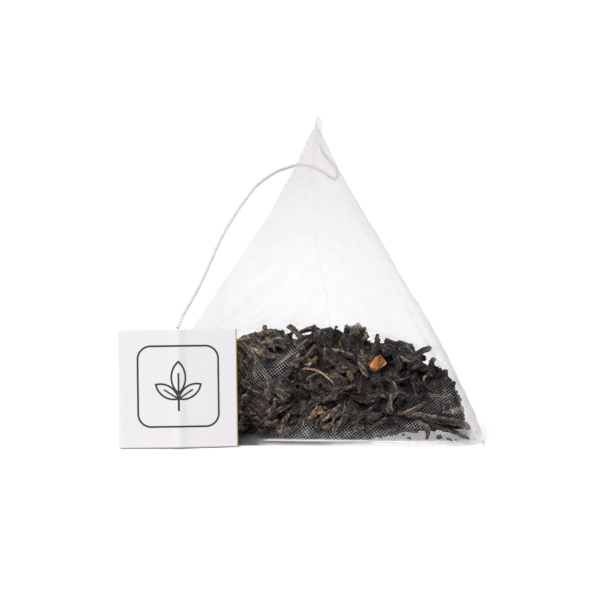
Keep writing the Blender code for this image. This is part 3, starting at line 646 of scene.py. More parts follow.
def random_leaves(draw, center, out, kind_shares):
    """Sizes and shapes drawn for leaves at given places: rolled ones, flat ones and small bits."""
    count = len(center)
    kind = draw.choice(3, count, p=kind_shares)
    rolled, flat, bit = (kind == number for number in range(3))

    def pick(*ranges):
        """A value for each leaf from its kind's range."""
        drawn = np.zeros(count)
        for mask, (low, high) in zip((rolled, flat, bit), ranges):
            drawn[mask] = draw.uniform(low, high, mask.sum())
        return drawn

    length = pick((3.2, 8.0), (2.8, 5.5), (1.0, 2.6)) * MM
    width = pick((0.9, 1.6), (1.8, 3.2), (0.7, 1.4)) * MM
    depth = width * pick((0.6, 0.95), (0.16, 0.3), (0.4, 0.9))
    heading = draw.normal(size=(count, 3))
    heading -= out * np.sum(heading * out, axis=1, keepdims=True)
    along = unit(unit(heading) + draw.normal(0, 0.13, count)[:, None] * out)
    normal = unit(out - along * np.sum(out * along, axis=1, keepdims=True))
    return {
        "center": center, "along": along, "out": normal, "length": length, "width": width,
        "depth": depth, "bow": pick((-0.3, 0.3), (-0.12, 0.12), (-0.1, 0.1)),
        "arch": pick((-0.06, 0.06), (-0.08, 0.08), (-0.05, 0.05)),
        "wobble": pick((0.01, 0.045), (0.0, 0.03), (0.0, 0.04)),
        "phase": draw.uniform(0, 2 * np.pi, count), "blunt": pick((14, 40), (12, 30), (8, 20)),
        "narrow": pick((0.05, 0.45), (0.05, 0.4), (0.0, 0.3)),
        "ragged": pick((0.2, 0.4), (0.2, 0.4), (0.25, 0.45)),
        "ridge": pick((0.12, 0.3), (0.05, 0.15), (0.05, 0.25)),
        "tear": pick((0.0, 0.25), (0.1, 0.35), (0.0, 0.2)),
        "folds": draw.integers(2, 4, count).astype(float),
        "crumple": pick((0.1, 0.45), (0.25, 0.8), (0.0, 0.4)),
        "curl": pick((0.0, 0.3), (0.1, 0.6), (0.0, 0.3)),
        "roll": draw.uniform(-0.6, 0.6, count), "twist": pick((-2.8, 2.8), (-0.9, 0.9), (-1, 1)),
        "tone": draw.beta(1.25, 1.7, count) * (
            1.08 - RIGHT_DARKER * fade("dark_right", center[:, 0])),
    }


def seat_leaves(leaves, steps, sides, inward, tidy=True):
    """Move leaves inwards until they clear the film, and drop those that still touch it or stand
    in the clear space at the toe. A tidy lot also keeps under the heap's top and its right side.
    """
    for _ in range(3):
        room = room_inside(leaf_points(leaves, steps, sides)).reshape(len(inward), -1).min(axis=1)
        push = np.maximum(LEAF_CLEARANCE - room, 0) * 1.2
        leaves["center"] = leaves["center"] + push[:, None] * inward
    points = leaf_points(leaves, steps, sides).reshape(len(inward), -1, 3)
    room = room_inside(points).min(axis=1)
    kept = room > 0.6 * LEAF_CLEARANCE
    if tidy:
        kept &= over_toe(points).min(axis=1) > 0
        kept &= (points[..., 0] < right_reach(points[..., 2])).all(axis=1)
        kept &= over_heap(points).max(axis=1) < HEAP_ROUGH
    for middle, _, size in (node_frame(name) for name in CLEAR_SIGHT):
        away = np.abs(points.mean(axis=1) - middle)
        kept &= (away[:, 0] > size[0] / 2 + 0.4 * MM) | (away[:, 2] > size[1] / 2 + 0.5 * MM)
    return {key: values[kept] for key, values in leaves.items()}


def film_places(draw, count, deep):
    """Random places just inside the film where the heap lies against it, and the way inwards."""
    around = draw.uniform(-QUARTER, 3 * QUARTER, count)
    length = draw.uniform(0.03, 0.9, count) * TUBE_LENGTH
    step = 0.2 * MM
    points = film_point(around, length)
    outward = unit(np.cross(film_point(around + step, length) - points,
                            film_point(around, length + step) - points))
    points = points - outward * (draw.uniform(deep[0], deep[1], count) * MM)[:, None]
    kept = over_heap(points) < -0.9 * MM
    return points[kept], -outward[kept], around[kept]


def slope_places(draw, count):
    """Random places on the heap's sloping top and the way down into it."""
    x = draw.uniform(-0.48, 0.48, count) * SEAL_LENGTH
    y = draw.uniform(2 * MM, 0.9 * TUBE_LENGTH, count)
    points = np.stack([x, y, heap_top(x, y) - draw.uniform(1.0, 2.8, count) * MM], axis=1)
    kept = room_inside(points) > 0.5 * MM
    return points[kept], np.tile(-SLOPE_OUT, (kept.sum(), 1))


# Steps along and round each leaf, by lot
FRONT_GRID = (14, 9)
REAR_GRID = (9, 7)
LARGE_GRID = (36, 18)
SEEN_GRID = (40, 18)
SHOWN_GRID = (40, 20)

# Places tried and leaves kept at most, how deep they lie (millimetres), and the shares of rolled
# leaves, flat leaves and small bits
FILM_TRIES = 6200
SLOPE_TRIES = 1100
FRONT_MOST = 560
REAR_MOST = 760
SEEN_MOST = 80
SKIN_DEPTHS = (1.7, 3.4)
MIXED_KINDS = (0.56, 0.24, 0.2)
ROLLED_ONLY = (1.0, 0.0, 0.0)

# Nodes that nothing may cover, and tones of leaves that stand out
CLEAR_SIGHT = ("bark_flake", "pale_stem")
LARGE_TONES = {"front_leaf_17": 0.8, "front_leaf_18": 0.78}

# Leaves seen on the front: start, middle and end across and up (millimetres), width, tone, depth
SEEN_LEAVES = (
    (-13.1, 17.4, -8.6, 18.5, -3.4, 18.1, 2.6, 0.80, 1.1),
    (-13.0, 17.1, -9.4, 16.0, -3.7, 14.2, 1.5, 0.78, 1.0),
    (1.8, 19.3, -1.0, 17.1, -2.6, 13.2, 1.2, 0.84, 0.9),
    (-9.0, 14.5, -8.2, 12.3, -6.5, 10.4, 0.7, 0.82, 0.8),
    (-7.7, 11.3, -7.3, 9.3, -7.6, 7.4, 1.1, 0.72, 0.9),
    (-5.6, 9.6, -4.6, 9.0, -3.2, 8.0, 1.0, 0.86, 0.8),
    (-9.7, 3.0, -6.0, 5.2, -3.0, 6.8, 0.9, 0.42, 0.8),
    (-1.5, 5.1, 2.0, 7.3, 5.7, 7.9, 1.0, 0.40, 0.8),
    (-3.1, 5.4, -4.4, 3.6, -5.4, 2.2, 1.0, 0.85, 0.8),
    (-0.9, 2.8, 0.6, 4.4, 1.9, 5.3, 1.0, 0.93, 0.7),
    (2.9, 4.1, 4.5, 5.3, 6.6, 6.7, 1.4, 0.88, 0.8),
    (5.3, 1.5, 6.1, 3.3, 7.6, 4.9, 1.1, 0.74, 0.8),
    (9.9, 16.3, 10.0, 14.0, 11.3, 11.6, 1.3, 0.80, 0.9),
    (2.6, 16.3, 6.9, 15.8, 11.3, 14.8, 1.1, 0.74, 0.9),
    (12.7, 10.6, 15.4, 11.1, 17.1, 8.0, 0.8, 0.70, 0.8),
    (16.7, 9.3, 15.5, 7.3, 15.4, 5.4, 1.1, 0.74, 0.8),
    (7.9, 3.1, 10.1, 4.9, 13.0, 6.8, 0.9, 0.45, 0.8),
    (16.9, 5.2, 19.7, 6.1, 22.4, 7.5, 0.8, 0.88, 0.7),
    (22.6, 12.4, 21.7, 11.1, 22.8, 9.4, 0.6, 0.80, 0.7),
    (22.4, 9.1, 24.5, 8.5, 26.8, 8.8, 1.0, 0.84, 1.2),
    (25.2, 6.8, 26.9, 6.5, 28.5, 6.2, 2.0, 0.86, 1.3),
    (18.6, 4.9, 24.5, 4.3, 30.7, 2.6, 1.3, 0.58, 1.0),
    (22.8, 3.6, 26.6, 2.2, 30.3, 1.0, 0.8, 0.42, 0.9),
    (-2.1, 18.8, 0.1, 20.0, 3.0, 19.2, 1.0, 0.62, 1.1),
    (1.3, 18.7, 3.3, 19.9, 5.5, 18.7, 0.8, 0.50, 1.1),
    (7.4, 19.3, 9.1, 19.6, 11.1, 17.9, 2.3, 0.84, 1.2),
    (12.9, 19.0, 12.6, 17.5, 11.9, 15.6, 1.0, 0.45, 0.9),
    (18.2, 17.4, 19.1, 16.0, 19.7, 14.8, 1.0, 0.55, 1.1),
    (22.0, 11.4, 23.8, 12.2, 24.9, 13.8, 1.3, 0.20, 2.4),
    (22.4, 11.2, 24.5, 10.6, 26.3, 10.4, 2.4, 0.22, 1.8),
    (4.8, 19.7, 5.9, 18.9, 6.4, 17.7, 1.3, 0.30, 1.2),
    (4.9, 17.5, 8.1, 17.9, 11.5, 17.3, 1.8, 0.30, 1.6),
    (13.9, 16.6, 16.7, 15.8, 19.5, 14.3, 1.6, 0.66, 1.3),
    (-12.0, 7.8, -9.0, 5.3, -7.8, 2.5, 1.2, 0.30, 1.2),
    (-4.6, 12.6, -1.4, 11.8, 1.6, 10.0, 1.1, 0.45, 1.1),
    (2.4, 11.6, 4.7, 9.6, 8.3, 9.2, 1.5, 0.34, 1.2),
    (8.5, 8.4, 10.9, 7.6, 14.1, 8.4, 1.0, 0.30, 1.0),
    (18.5, 12.3, 20.1, 10.0, 20.3, 7.7, 1.0, 0.26, 1.0),
    (11.4, 1.9, 14.1, 3.5, 17.3, 3.9, 1.2, 0.36, 1.4),
    (-3.4, 2.3, -1.0, 3.9, -0.0, 6.6, 1.0, 0.36, 1.0),
    (6.3, 12.2, 7.7, 12.8, 8.7, 10.4, 1.2, 0.74, 0.9),
    (19.7, 3.4, 21.9, 3.0, 22.6, 0.6, 1.1, 0.60, 0.9),
    (14.0, 15.6, 17.2, 16.4, 20.0, 15.4, 1.5, 0.30, 1.5),
    (16.5, 14.4, 19.2, 15.2, 21.8, 13.8, 1.5, 0.25, 1.5),
    (12.5, 16.8, 14.5, 17.2, 16.6, 16.6, 1.4, 0.35, 1.6),
    (18.6, 13.4, 20.8, 13.8, 23.2, 12.2, 1.6, 0.20, 1.6),
    (24.2, 0.9, 24.7, 1.1, 25.3, 0.9, 0.7, 0.20, 1.2),
    (26.0, 0.9, 26.6, 0.8, 27.2, 0.5, 0.4, 0.15, 0.7),
    (27.6, 0.7, 27.8, 0.7, 28.0, 0.6, 0.25, 0.20, 0.8),
    (17.8, 1.2, 18.1, 1.3, 18.4, 1.2, 0.4, 0.20, 1.4),
    (18.7, 0.8, 19.1, 0.9, 19.5, 0.8, 0.45, 0.15, 1.0),
    (14.3, 1.1, 15.2, 1.3, 16.1, 1.1, 0.6, 0.40, 1.4),
    (12.5, 1.3, 13.1, 1.6, 13.8, 1.2, 0.8, 0.25, 1.4),
    (8.5, 0.9, 10.0, 1.5, 11.5, 0.9, 1.0, 0.35, 1.2),
    (11.0, 0.8, 12.6, 1.4, 14.2, 0.9, 1.0, 0.42, 1.2),
    (13.6, 1.0, 15.2, 1.7, 16.8, 1.3, 1.0, 0.50, 1.6),
    (5.3, 0.8, 6.9, 1.2, 8.6, 0.8, 0.9, 0.42, 1.0),
    (1.5, 0.8, 3.4, 1.3, 5.4, 0.9, 0.9, 0.30, 1.0),
    (-3.0, 0.8, -1.0, 1.2, 1.0, 0.7, 0.9, 0.35, 1.0),
    (-7.6, 0.8, -5.6, 1.3, -3.4, 0.8, 0.9, 0.30, 1.0),
    (16.6, 1.6, 18.6, 2.3, 20.8, 2.0, 1.1, 0.45, 1.4),
    (-7.8, 16.7, -6.0, 17.3, -4.0, 16.4, 1.3, 0.60, 0.1),
    (25.8, 9.6, 26.8, 10.6, 27.4, 11.6, 0.9, 0.30, 3.0),
    (26.4, 7.2, 27.6, 7.8, 28.6, 8.8, 0.9, 0.40, 2.6),
)


def add_loose_leaves(finish):
    """The leaves of the heap's skin: against the front, against the other faces, and on top."""
    draw = np.random.default_rng(11)
    points, inward, around = film_places(draw, FILM_TRIES, SKIN_DEPTHS)
    front = np.abs(around) < QUARTER * 0.98
    made = []
    for name, mask, limit, grid in (("front_curls", front, FRONT_MOST, FRONT_GRID),
                                    ("rear_curls", ~front, REAR_MOST, REAR_GRID)):
        places = points[mask][:limit]
        ways = inward[mask][:limit]
        leaves = random_leaves(draw, places, -ways, MIXED_KINDS)
        leaves = seat_leaves(leaves, *grid, ways)
        made.append(leaf_piece(name, leaves, *grid, finish))
    places, ways = slope_places(draw, SLOPE_TRIES)
    leaves = random_leaves(draw, places, -ways, MIXED_KINDS)
    leaves = seat_leaves(leaves, *REAR_GRID, ways)
    made.append(leaf_piece("top_curls", leaves, *REAR_GRID, finish))
    for piece in made:
        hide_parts("tea_heap")


def add_heap(finish):
    """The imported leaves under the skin: a closed lumpy body between the heap's planes."""
    rings, sides = HEAP_GRID
    share = np.linspace(*HEAP_SPAN, rings)[:, None]
    turn = turns(sides)[None, :]
    across = np.sign(np.cos(turn)) * np.abs(np.cos(turn)) ** HEAP_CORNER
    up = (np.sign(np.sin(turn)) * np.abs(np.sin(turn)) ** HEAP_CORNER + 1) / 2
    wide, tall = section_size(share)
    x = across * np.maximum(wide - HEAP_INSET, 0.3 * MM) + 0 * up
    slope = math.tan(HEAP_SLOPE)
    fall = share * AXIS_LENGTH * (AXIS[2] + slope * AXIS[1])
    level = (heap_top(x, 0.0) - fall) / (RISE[2] + slope * RISE[1])
    low = -tall + HEAP_INSET
    high = np.minimum(tall - HEAP_INSET, level - HEAP_INSET)
    c = low + np.maximum(high - low, 0.3 * MM) * up
    lump = np.sin(0.9 * x / MM + 6 * share) * np.sin(14 * turn + 50 * share) * 0.25 * MM
    points = bag_point(share + 0 * x, x + 0.5 * lump, c + lump)
    clear = toe_height(points[..., 0], points[..., 1]) + 0.6 * MM
    points[..., 2] = np.maximum(points[..., 2], np.maximum(clear, HEAP_INSET * 0.6))
    faces = grid_faces(rings, sides, True).tolist() + end_caps(rings, sides)
    # The core gets the darkest tone and ridge shading: tea's own dark colour and painted shade for
    # the deep gaps between leaves.
    heap = add_piece("heap_core", points.reshape(-1, 3), faces, [finish],
                     attributes={"tone": np.full(rings * sides, 0.1),
                                 "ridge_shading": np.full(rings * sides, 0.1)})
    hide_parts("tea_heap")


def node_frame(node):
    """Middle, three directions from longest to shortest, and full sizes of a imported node."""
    mesh = frame["nodes"][node].data
    corners = np.empty(len(mesh.vertices) * 3)
    mesh.vertices.foreach_get("co", corners)
    corners = corners.reshape(-1, 3) - BAG_PLACE
    middle = (corners.max(axis=0) + corners.min(axis=0)) / 2
    directions = np.linalg.svd(corners - corners.mean(axis=0), full_matrices=False)[2]
    spread = (corners - middle) @ directions.T
    middle = middle + (spread.max(axis=0) + spread.min(axis=0)) / 2 @ directions
    return middle, directions, np.ptp(spread, axis=0)


def add_large_leaves(finish):
    """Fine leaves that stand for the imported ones, each at its node's place and size."""
    draw = np.random.default_rng(5)
    for group, out_way in (("front_leaf", FACE_OUT), ("slope_leaf", SLOPE_OUT)):
        nodes = sorted(name for name in frame["nodes"] if name.startswith(group))
        frames = [node_frame(name) for name in nodes]
        center = np.array([middle for middle, _, _ in frames])
        along = np.array([directions[0] for _, directions, _ in frames])
        size = np.array([sizes for _, _, sizes in frames])
        out = unit(out_way - along * (along @ out_way)[:, None])
        along = along * np.where(along[:, 2:] < 0, -1, 1)
        wide_up = np.abs(np.cross(out, along)[:, 2])
        top = center[:, 2] + along[:, 2] * size[:, 0] / 2 + wide_up * size[:, 1] / 2
        over = np.maximum(top - heap_top(center[:, 0], center[:, 1]) - 0.3 * MM, 0)
        cut = np.minimum(over * along[:, 2], 2.4 * MM)
        center = center - along * cut[:, None] / 2
        center = center - np.multiply.outer(np.minimum(over - along[:, 2] * cut, 1.8 * MM), UP)
        leaves = random_leaves(draw, center, out, ROLLED_ONLY)
        leaves.update(along=along, out=out, length=size[:, 0] * 0.98 - cut, width=size[:, 1],
                      narrow=leaves["narrow"] * 0.5,
                      depth=np.minimum(size[:, 2], size[:, 1]) * 0.85, roll=leaves["roll"] * 0.5,
                      bow=leaves["bow"] * 0.3, arch=leaves["arch"] * 0.3,
                      curl=leaves["curl"] * 0.4)
        for number, name in enumerate(nodes):
            leaves["tone"][number] = LARGE_TONES.get(name, leaves["tone"][number])
        piece = leaf_piece(group + "_set", leaves, *LARGE_GRID, finish)
        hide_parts(*nodes)


def add_seen_leaves(finish):
    """The leaves that show best on the front: each arc runs through three places of the front
    face, where P(s) = middle + s * half chord + s^2 * bend.
    """
    draw = np.random.default_rng(21)
    table = np.array(SEEN_LEAVES)
    count = len(table)
    share = table[:, 3] * MM / APEX_HEIGHT
    depth = (table[:, 8] - 0.25 - 3.2 * share * (1 - share)) * MM
    slope = 1 / math.tan(2 * HALF_SLOPE)
    low = table[:, 1:6:2].max(axis=1) < 5.4
    inward = np.where(low[:, None], np.array([0.0, 0.96, 0.28]), -FACE_OUT)
    stops = []
    for column in (0, 2, 4):
        x = table[:, column] * MM
        z = table[:, column + 1] * MM
        stops.append(np.stack([x, z * slope, z], axis=1) + inward * depth[:, None])
    chord = stops[2] - stops[0]
    long = np.linalg.norm(chord, axis=1)
    along = chord / long[:, None]
    bend = (stops[0] + stops[2]) / 2 - stops[1]
    out = unit(FACE_OUT - along * (along @ FACE_OUT)[:, None])
    spare = ((0, SEEN_MOST - count), (0, 0))
    leaves = random_leaves(draw, np.pad(stops[1] + bend / 3, spare), np.pad(out, spare, "edge"),
                           ROLLED_ONLY)
    leaves = {key: values[:count] for key, values in leaves.items()}
    width = table[:, 6] * MM
    flat = width > 1.7 * MM
    leaves.update(
        along=along, out=out, length=long, width=width,
        depth=width * np.where(flat, 0.3, 0.75), wobble=leaves["wobble"] * 0.5,
        bow=np.sum(bend * np.cross(out, along), axis=1) / long, arch=leaves["arch"] * 0.4,
        tone=table[:, 7], twist=leaves["twist"] * np.where(flat, 0.15, 0.7),
        roll=leaves["roll"] * np.where(flat, 0.3, 1.0), narrow=leaves["narrow"] * 0.8)
    leaves = seat_leaves(leaves, *SEEN_GRID, inward, False)
    piece = leaf_piece("seen_leaves", leaves, *SEEN_GRID, finish)
    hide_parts("tea_heap")


def add_shown_pieces(finishes):
    """The four pieces that stand out: a bark flake, a pale stem and two twigs."""
    shapes = (("bark_flake", "bark", 0.0, 60.0, 0.0), ("pale_stem", "stem", 0.16, 9.0, 0.3),
              ("long_twig", "twig", 0.02, 40.0, 0.05), ("upper_twig", "twig", 0.02, 40.0, -0.2))
    for number, (node, finish, bow, blunt, narrow) in enumerate(shapes):
        middle, directions, size = node_frame(node)
        draw = np.random.default_rng(number)
        along = directions[0] * np.sign(directions[0][0] + 1e-9)
        out = FACE_OUT - along * (along @ FACE_OUT)
        out /= np.linalg.norm(out)
        leaves = random_leaves(draw, middle[None], out[None], ROLLED_ONLY)
        flake = node == "bark_flake"
        short = 0.35 if node == "upper_twig" else 0.0
        leaves.update(
            along=along[None], out=out[None], length=size[:1] * (1 - short),
            center=(middle + along * size[0] * short / 2)[None],
            width=size[1:2] * {"bark_flake": 0.98, "pale_stem": 0.45}.get(node, 1.1),
            depth=np.array([size[2] * (0.9 if flake else 0.8)]), bow=np.array([-bow]),
            arch=np.zeros(1), wobble=np.array([0.012]), blunt=np.array([blunt]),
            narrow=np.array([narrow]), ragged=np.array([0.08 if flake else 0.2]),
            ridge=np.array([0.05 if flake else 0.12]), crumple=np.array([0.1]),
            tear=np.array([0.06 if flake else 0.4]),
            curl=np.array([0.05]), roll=np.array([0.1]), twist=np.array([0.0 if flake else 0.6]))
        piece = leaf_piece(node + "_fine", leaves, *SHOWN_GRID, finishes[finish])
        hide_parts(node)


# String and tag


def smooth_route(route, pitch):
    """Points a pitch apart along the smooth curve that passes through the route's points."""
    ends = np.concatenate([[2 * route[0] - route[1]], route, [2 * route[-1] - route[-2]]])
    share = np.linspace(0, 1, 12, endpoint=False)[:, None]
    pieces = []
    for before, start, end, after in zip(ends, ends[1:], ends[2:], ends[3:]):
        pieces.append(0.5 * (2 * start + (end - before) * share
                             + (2 * before - 5 * start + 4 * end - after) * share ** 2
                             + (3 * start - before - 3 * end + after) * share ** 3))
    dense = np.concatenate(pieces + [route[-1:]])
    run = np.concatenate([[0], np.cumsum(np.linalg.norm(np.diff(dense, axis=0), axis=1))])
    stops = np.linspace(0, run[-1], round(run[-1] / pitch) + 1)
    return np.stack([np.interp(stops, run, dense[:, axis]) for axis in range(3)], axis=1)


def tag_frame():
    """The tag's directions across, backwards and up, and the middle of its lower edge."""
    across = np.array([math.cos(TAG_TURN), math.sin(TAG_TURN), 0.0])
    level_back = np.array([-math.sin(TAG_TURN), math.cos(TAG_TURN), 0.0])
    up = level_back * math.sin(TAG_LEAN) + UP * math.cos(TAG_LEAN)
    back = level_back * math.cos(TAG_LEAN) - UP * math.sin(TAG_LEAN)
    return across, back, up, np.array([*TAG_PLACE, 0.0])


def tag_foot_rise():
    """How far the tag's middle plane starts above the floor, so that its low corner meets it."""
    return (TAG_VEE + 2 * TAG_CARD + TAG_MOUTH) * math.tan(TAG_LEAN)


def path_frames(path):
    """Unit directions along a path and two square to it."""
    along = unit(np.gradient(path, axis=0))
    aside = unit(np.cross(along, np.array([0.55, 0.35, -0.75])))
    return along, aside, np.cross(along, aside)


def add_string(finish):
    """The cotton string: three plies that wind round each other, and the fine hairs on them.

    Its radius is the outer one less a share of 1 - |cos 1.5 t|, t running round it and along it.
    """
    up, foot = tag_frame()[2:]
    top = foot + up * (TAG_HEIGHT + tag_foot_rise() + STRING_GAP)
    route = np.concatenate([np.array(STRING_ROUTE_MM) * MM, [top]])
    path = smooth_route(route, STRING_STEP)
    run = np.linspace(0, 1, len(path)) * STRING_STEP * (len(path) - 1)
    along, aside, other = path_frames(path)
    sides = STRING_SIDES
    turn = turns(sides)[None, :]
    wound = 1.5 * (turn - 2 * np.pi * run[:, None] / STRING_LAY)
    slub = 1 + 0.05 * np.sin(run[:, None] / (3.1 * MM)) * np.sin(run[:, None] / (1.7 * MM))
    radius = STRING_DIAMETER / 2 * (1.04 - 0.30 * (1 - np.abs(np.cos(wound)))) * slub
    points = (path[:, None] + (radius * np.cos(turn))[..., None] * aside[:, None]
              + (radius * np.sin(turn))[..., None] * other[:, None])
    faces = grid_faces(len(path), sides, True).tolist() + end_caps(len(path), sides)
    column, row = grid_corners(len(path), sides)
    uv = np.stack([column * 2 / sides, run[row] / MM], axis=-1).reshape(-1, 2)
    # The plies' crowns, for the painted shade in the grooves between them.
    string = add_piece("cotton_string", points.reshape(-1, 3), faces, [finish],
                       np.concatenate([uv, np.zeros((2 * sides, 2))]),
                       {"groove": np.abs(np.cos(wound))})
    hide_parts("string")
    hairs = add_hairs(finish, path, along, aside, other)


def add_hairs(finish, path, along, aside, other):
    """Loose fibres along the string: thin bent threads that leave its surface at a slant."""
    draw = np.random.default_rng(3)
    count = HAIR_COUNT
    station = draw.integers(4, len(path) - 4, count)
    turn = draw.uniform(0, 2 * np.pi, count)
    out = (np.cos(turn)[:, None] * aside[station] + np.sin(turn)[:, None] * other[station])
    away = unit(out + draw.uniform(-1.6, 1.6, count)[:, None] * along[station])
    length = draw.uniform(0.25, 0.85, count) * MM
    center = path[station] + out * STRING_DIAMETER * 0.42 + away * (length / 2)[:, None]
    fine = np.full(count, HAIR_WIDTH)
    flat = np.zeros(count)
    hairs = {
        "center": center, "along": away, "out": unit(np.cross(away, along[station])),
        "length": length, "width": fine, "depth": fine,
        "bow": draw.uniform(-0.3, 0.3, count), "arch": draw.uniform(-0.3, 0.3, count),
        "phase": turn, "blunt": flat + 4, "narrow": flat + 0.5, "folds": flat + 2,
        **{key: flat for key in ("wobble", "ragged", "tear", "ridge", "crumple", "curl", "roll",
                                 "twist", "tone")},
    }
    piece = leaf_piece("string_hairs", hairs, 5, 3, finish)
    return piece


def tag_leaf(x):
    """How far the card has fallen back from its middle, less the ridge over the string's end."""
    fall = TAG_VEE * np.abs(x) / (TAG_WIDTH / 2)
    ridge = np.cos(np.clip(np.pi * x / (2 * TAG_RIDGE_WIDTH), -np.pi / 2, np.pi / 2)) ** 2
    return fall - TAG_RIDGE_HEIGHT * ridge


def add_tag(finishes):
    """The folded card: one sheet from the open right edge round the fold and back again."""
    half = TAG_WIDTH / 2
    weld = TAG_WELD_WIDTH / 2
    bend = (TAG_CARD + TAG_SLOT) / 2
    front_x = np.linspace(half, -half + bend + TAG_CARD / 2, TAG_STEPS)
    around = np.linspace(0, np.pi, 9)[1:-1]
    rear_x = front_x[::-1]
    depth = TAG_CARD / 2
    open_share = np.clip((rear_x - weld) / (half - weld), 0, 1)
    gap = TAG_SLOT + (TAG_MOUTH - TAG_SLOT) * open_share
    fold_x = front_x[-1] - bend * np.sin(around)
    fold_y = TAG_VEE + depth + bend * (1 - np.cos(around))
    ridge_free = TAG_VEE * np.abs(rear_x) / half
    x = np.concatenate([front_x, fold_x, rear_x])
    y = np.concatenate([tag_leaf(front_x) + depth, fold_y, ridge_free + TAG_CARD + gap + depth])
    rise = np.linspace(0, TAG_HEIGHT, TAG_STEPS)[:, None]
    across, back, up, foot = tag_frame()
    warp = TAG_WARP * np.sin(np.pi * rise / TAG_HEIGHT) * np.cos(np.pi * x[None] / TAG_WIDTH)
    points = (foot + np.multiply.outer(x[None] + 0 * rise, across)
              + np.multiply.outer(y[None] + warp, back)
              + np.multiply.outer(rise + tag_foot_rise() + 0 * x[None], up))
    rows, columns = points.shape[:2]
    faces = grid_faces(rows, columns, False)
    flat = np.stack([x[None] + 0 * rise, rise + 0 * x[None]], axis=-1).reshape(-1, 2) / MM
    face = np.concatenate([np.ones(len(front_x)), np.zeros(len(fold_x) + len(rear_x))])
    tag = add_piece("folded_tag", points.reshape(-1, 3), faces[:, ::-1].tolist(), finishes,
                    flat[faces[:, ::-1].ravel()],
                    {"face": np.tile(face, rows)})
    wall = tag.modifiers.new("card", "SOLIDIFY")
    wall.thickness = TAG_CARD
    wall.offset = 0.0
    wall.material_offset_rim = 1
    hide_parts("tag")
    return tag


# Finishes


class Nodes:
    """A small writer of shader nodes: each call adds one node and gives back its output."""

    def __init__(self, tree):
        self.tree = tree

    def fill(self, sockets, values):
        """Give sockets plain values, or link them to other nodes' outputs."""
        for key, value in values.items():
            if isinstance(value, bpy.types.NodeSocket):
                self.tree.links.new(value, sockets[key])
            else:
                sockets[key].default_value = value

    def add(self, kind, inputs=None, **settings):
        """One node with its settings; inputs are values or other nodes' outputs."""
        made = self.tree.nodes.new(kind)
        for key, value in settings.items():
            setattr(made, key, value)
        self.fill(made.inputs, inputs or {})
        return made

    def math(self, operation, first, second=0.0, third=0.0):
        """A sum, product or other operation on two or three numbers."""
        return self.add("ShaderNodeMath", {0: first, 1: second, 2: third},
                        operation=operation).outputs[0]

    def times(self, first, second):
        """The product of two numbers."""
        return self.math("MULTIPLY", first, second)

    def most(self, first, second):
        """The larger of two numbers."""
        return self.math("MAXIMUM", first, second)

    def spread(self, value, low, high, to_low=0.0, to_high=1.0):
        """A value moved smoothly from one range to another and held there."""
        return self.add("ShaderNodeMapRange", {"Value": value, "From Min": low, "From Max": high,
                                               "To Min": to_low, "To Max": to_high},
                        interpolation_type="SMOOTHSTEP").outputs["Result"]

    def mix(self, share, first, second):
        """A colour between two colours."""
        colors = {number: value if isinstance(value, bpy.types.NodeSocket) else (*value, 1.0)
                  for number, value in ((6, first), (7, second))}
        return self.add("ShaderNodeMix", {0: share, **colors}, data_type="RGBA").outputs[2]

    def noise(self, vector, scale, detail=3.0, roughness=0.5):
        """Cloudy noise between 0 and 1."""
        return self.add("ShaderNodeTexNoise", {"Vector": vector, "Scale": scale, "Detail": detail,
                                               "Roughness": roughness}).outputs[0]

    def stretched(self, vector, scale):
        """A vector or colour multiplied along each axis."""
        return self.add("ShaderNodeVectorMath", {0: vector, 1: scale},
                        operation="MULTIPLY").outputs[0]

    def grain(self, flat, across, along, detail, roughness):
        """Cloudy noise on a flat map, finer one way than the other."""
        return self.noise(self.stretched(flat, (across, along, 1.0)), 1.0, detail, roughness)

    def parts(self, vector):
        """The three numbers of a vector."""
        return self.add("ShaderNodeSeparateXYZ", {0: vector}).outputs

    def bump(self, height, strength, distance):
        """A normal tilted by a height."""
        return self.add("ShaderNodeBump", {"Height": height, "Strength": strength,
                                           "Distance": distance}).outputs[0]

    def attribute(self, name):
        """A piece's own value that its mesh carries."""
        return self.add("ShaderNodeAttribute", attribute_name=name).outputs["Fac"]

    def place(self):
        """Places in the piece's own frame, in metres."""
        return self.add("ShaderNodeTexCoord").outputs["Object"]

    def flat_map(self):
        """The piece's own flat map, in millimetres."""
        return self.add("ShaderNodeUVMap", uv_map="flat").outputs[0]


def new_group(name, inputs, outputs):
    """A shader node group with named number or colour sockets, and its writer."""
    tree = bpy.data.node_groups.new(name, "ShaderNodeTree")
    for label, kind, value in inputs:
        socket = tree.interface.new_socket(label, in_out="INPUT", socket_type=kind)
        if value is not None:
            socket.default_value = value
    for label, kind in outputs:
        tree.interface.new_socket(label, in_out="OUTPUT", socket_type=kind)
    write = Nodes(tree)
    return tree, write, write.add("NodeGroupInput").outputs, write.add("NodeGroupOutput").inputs


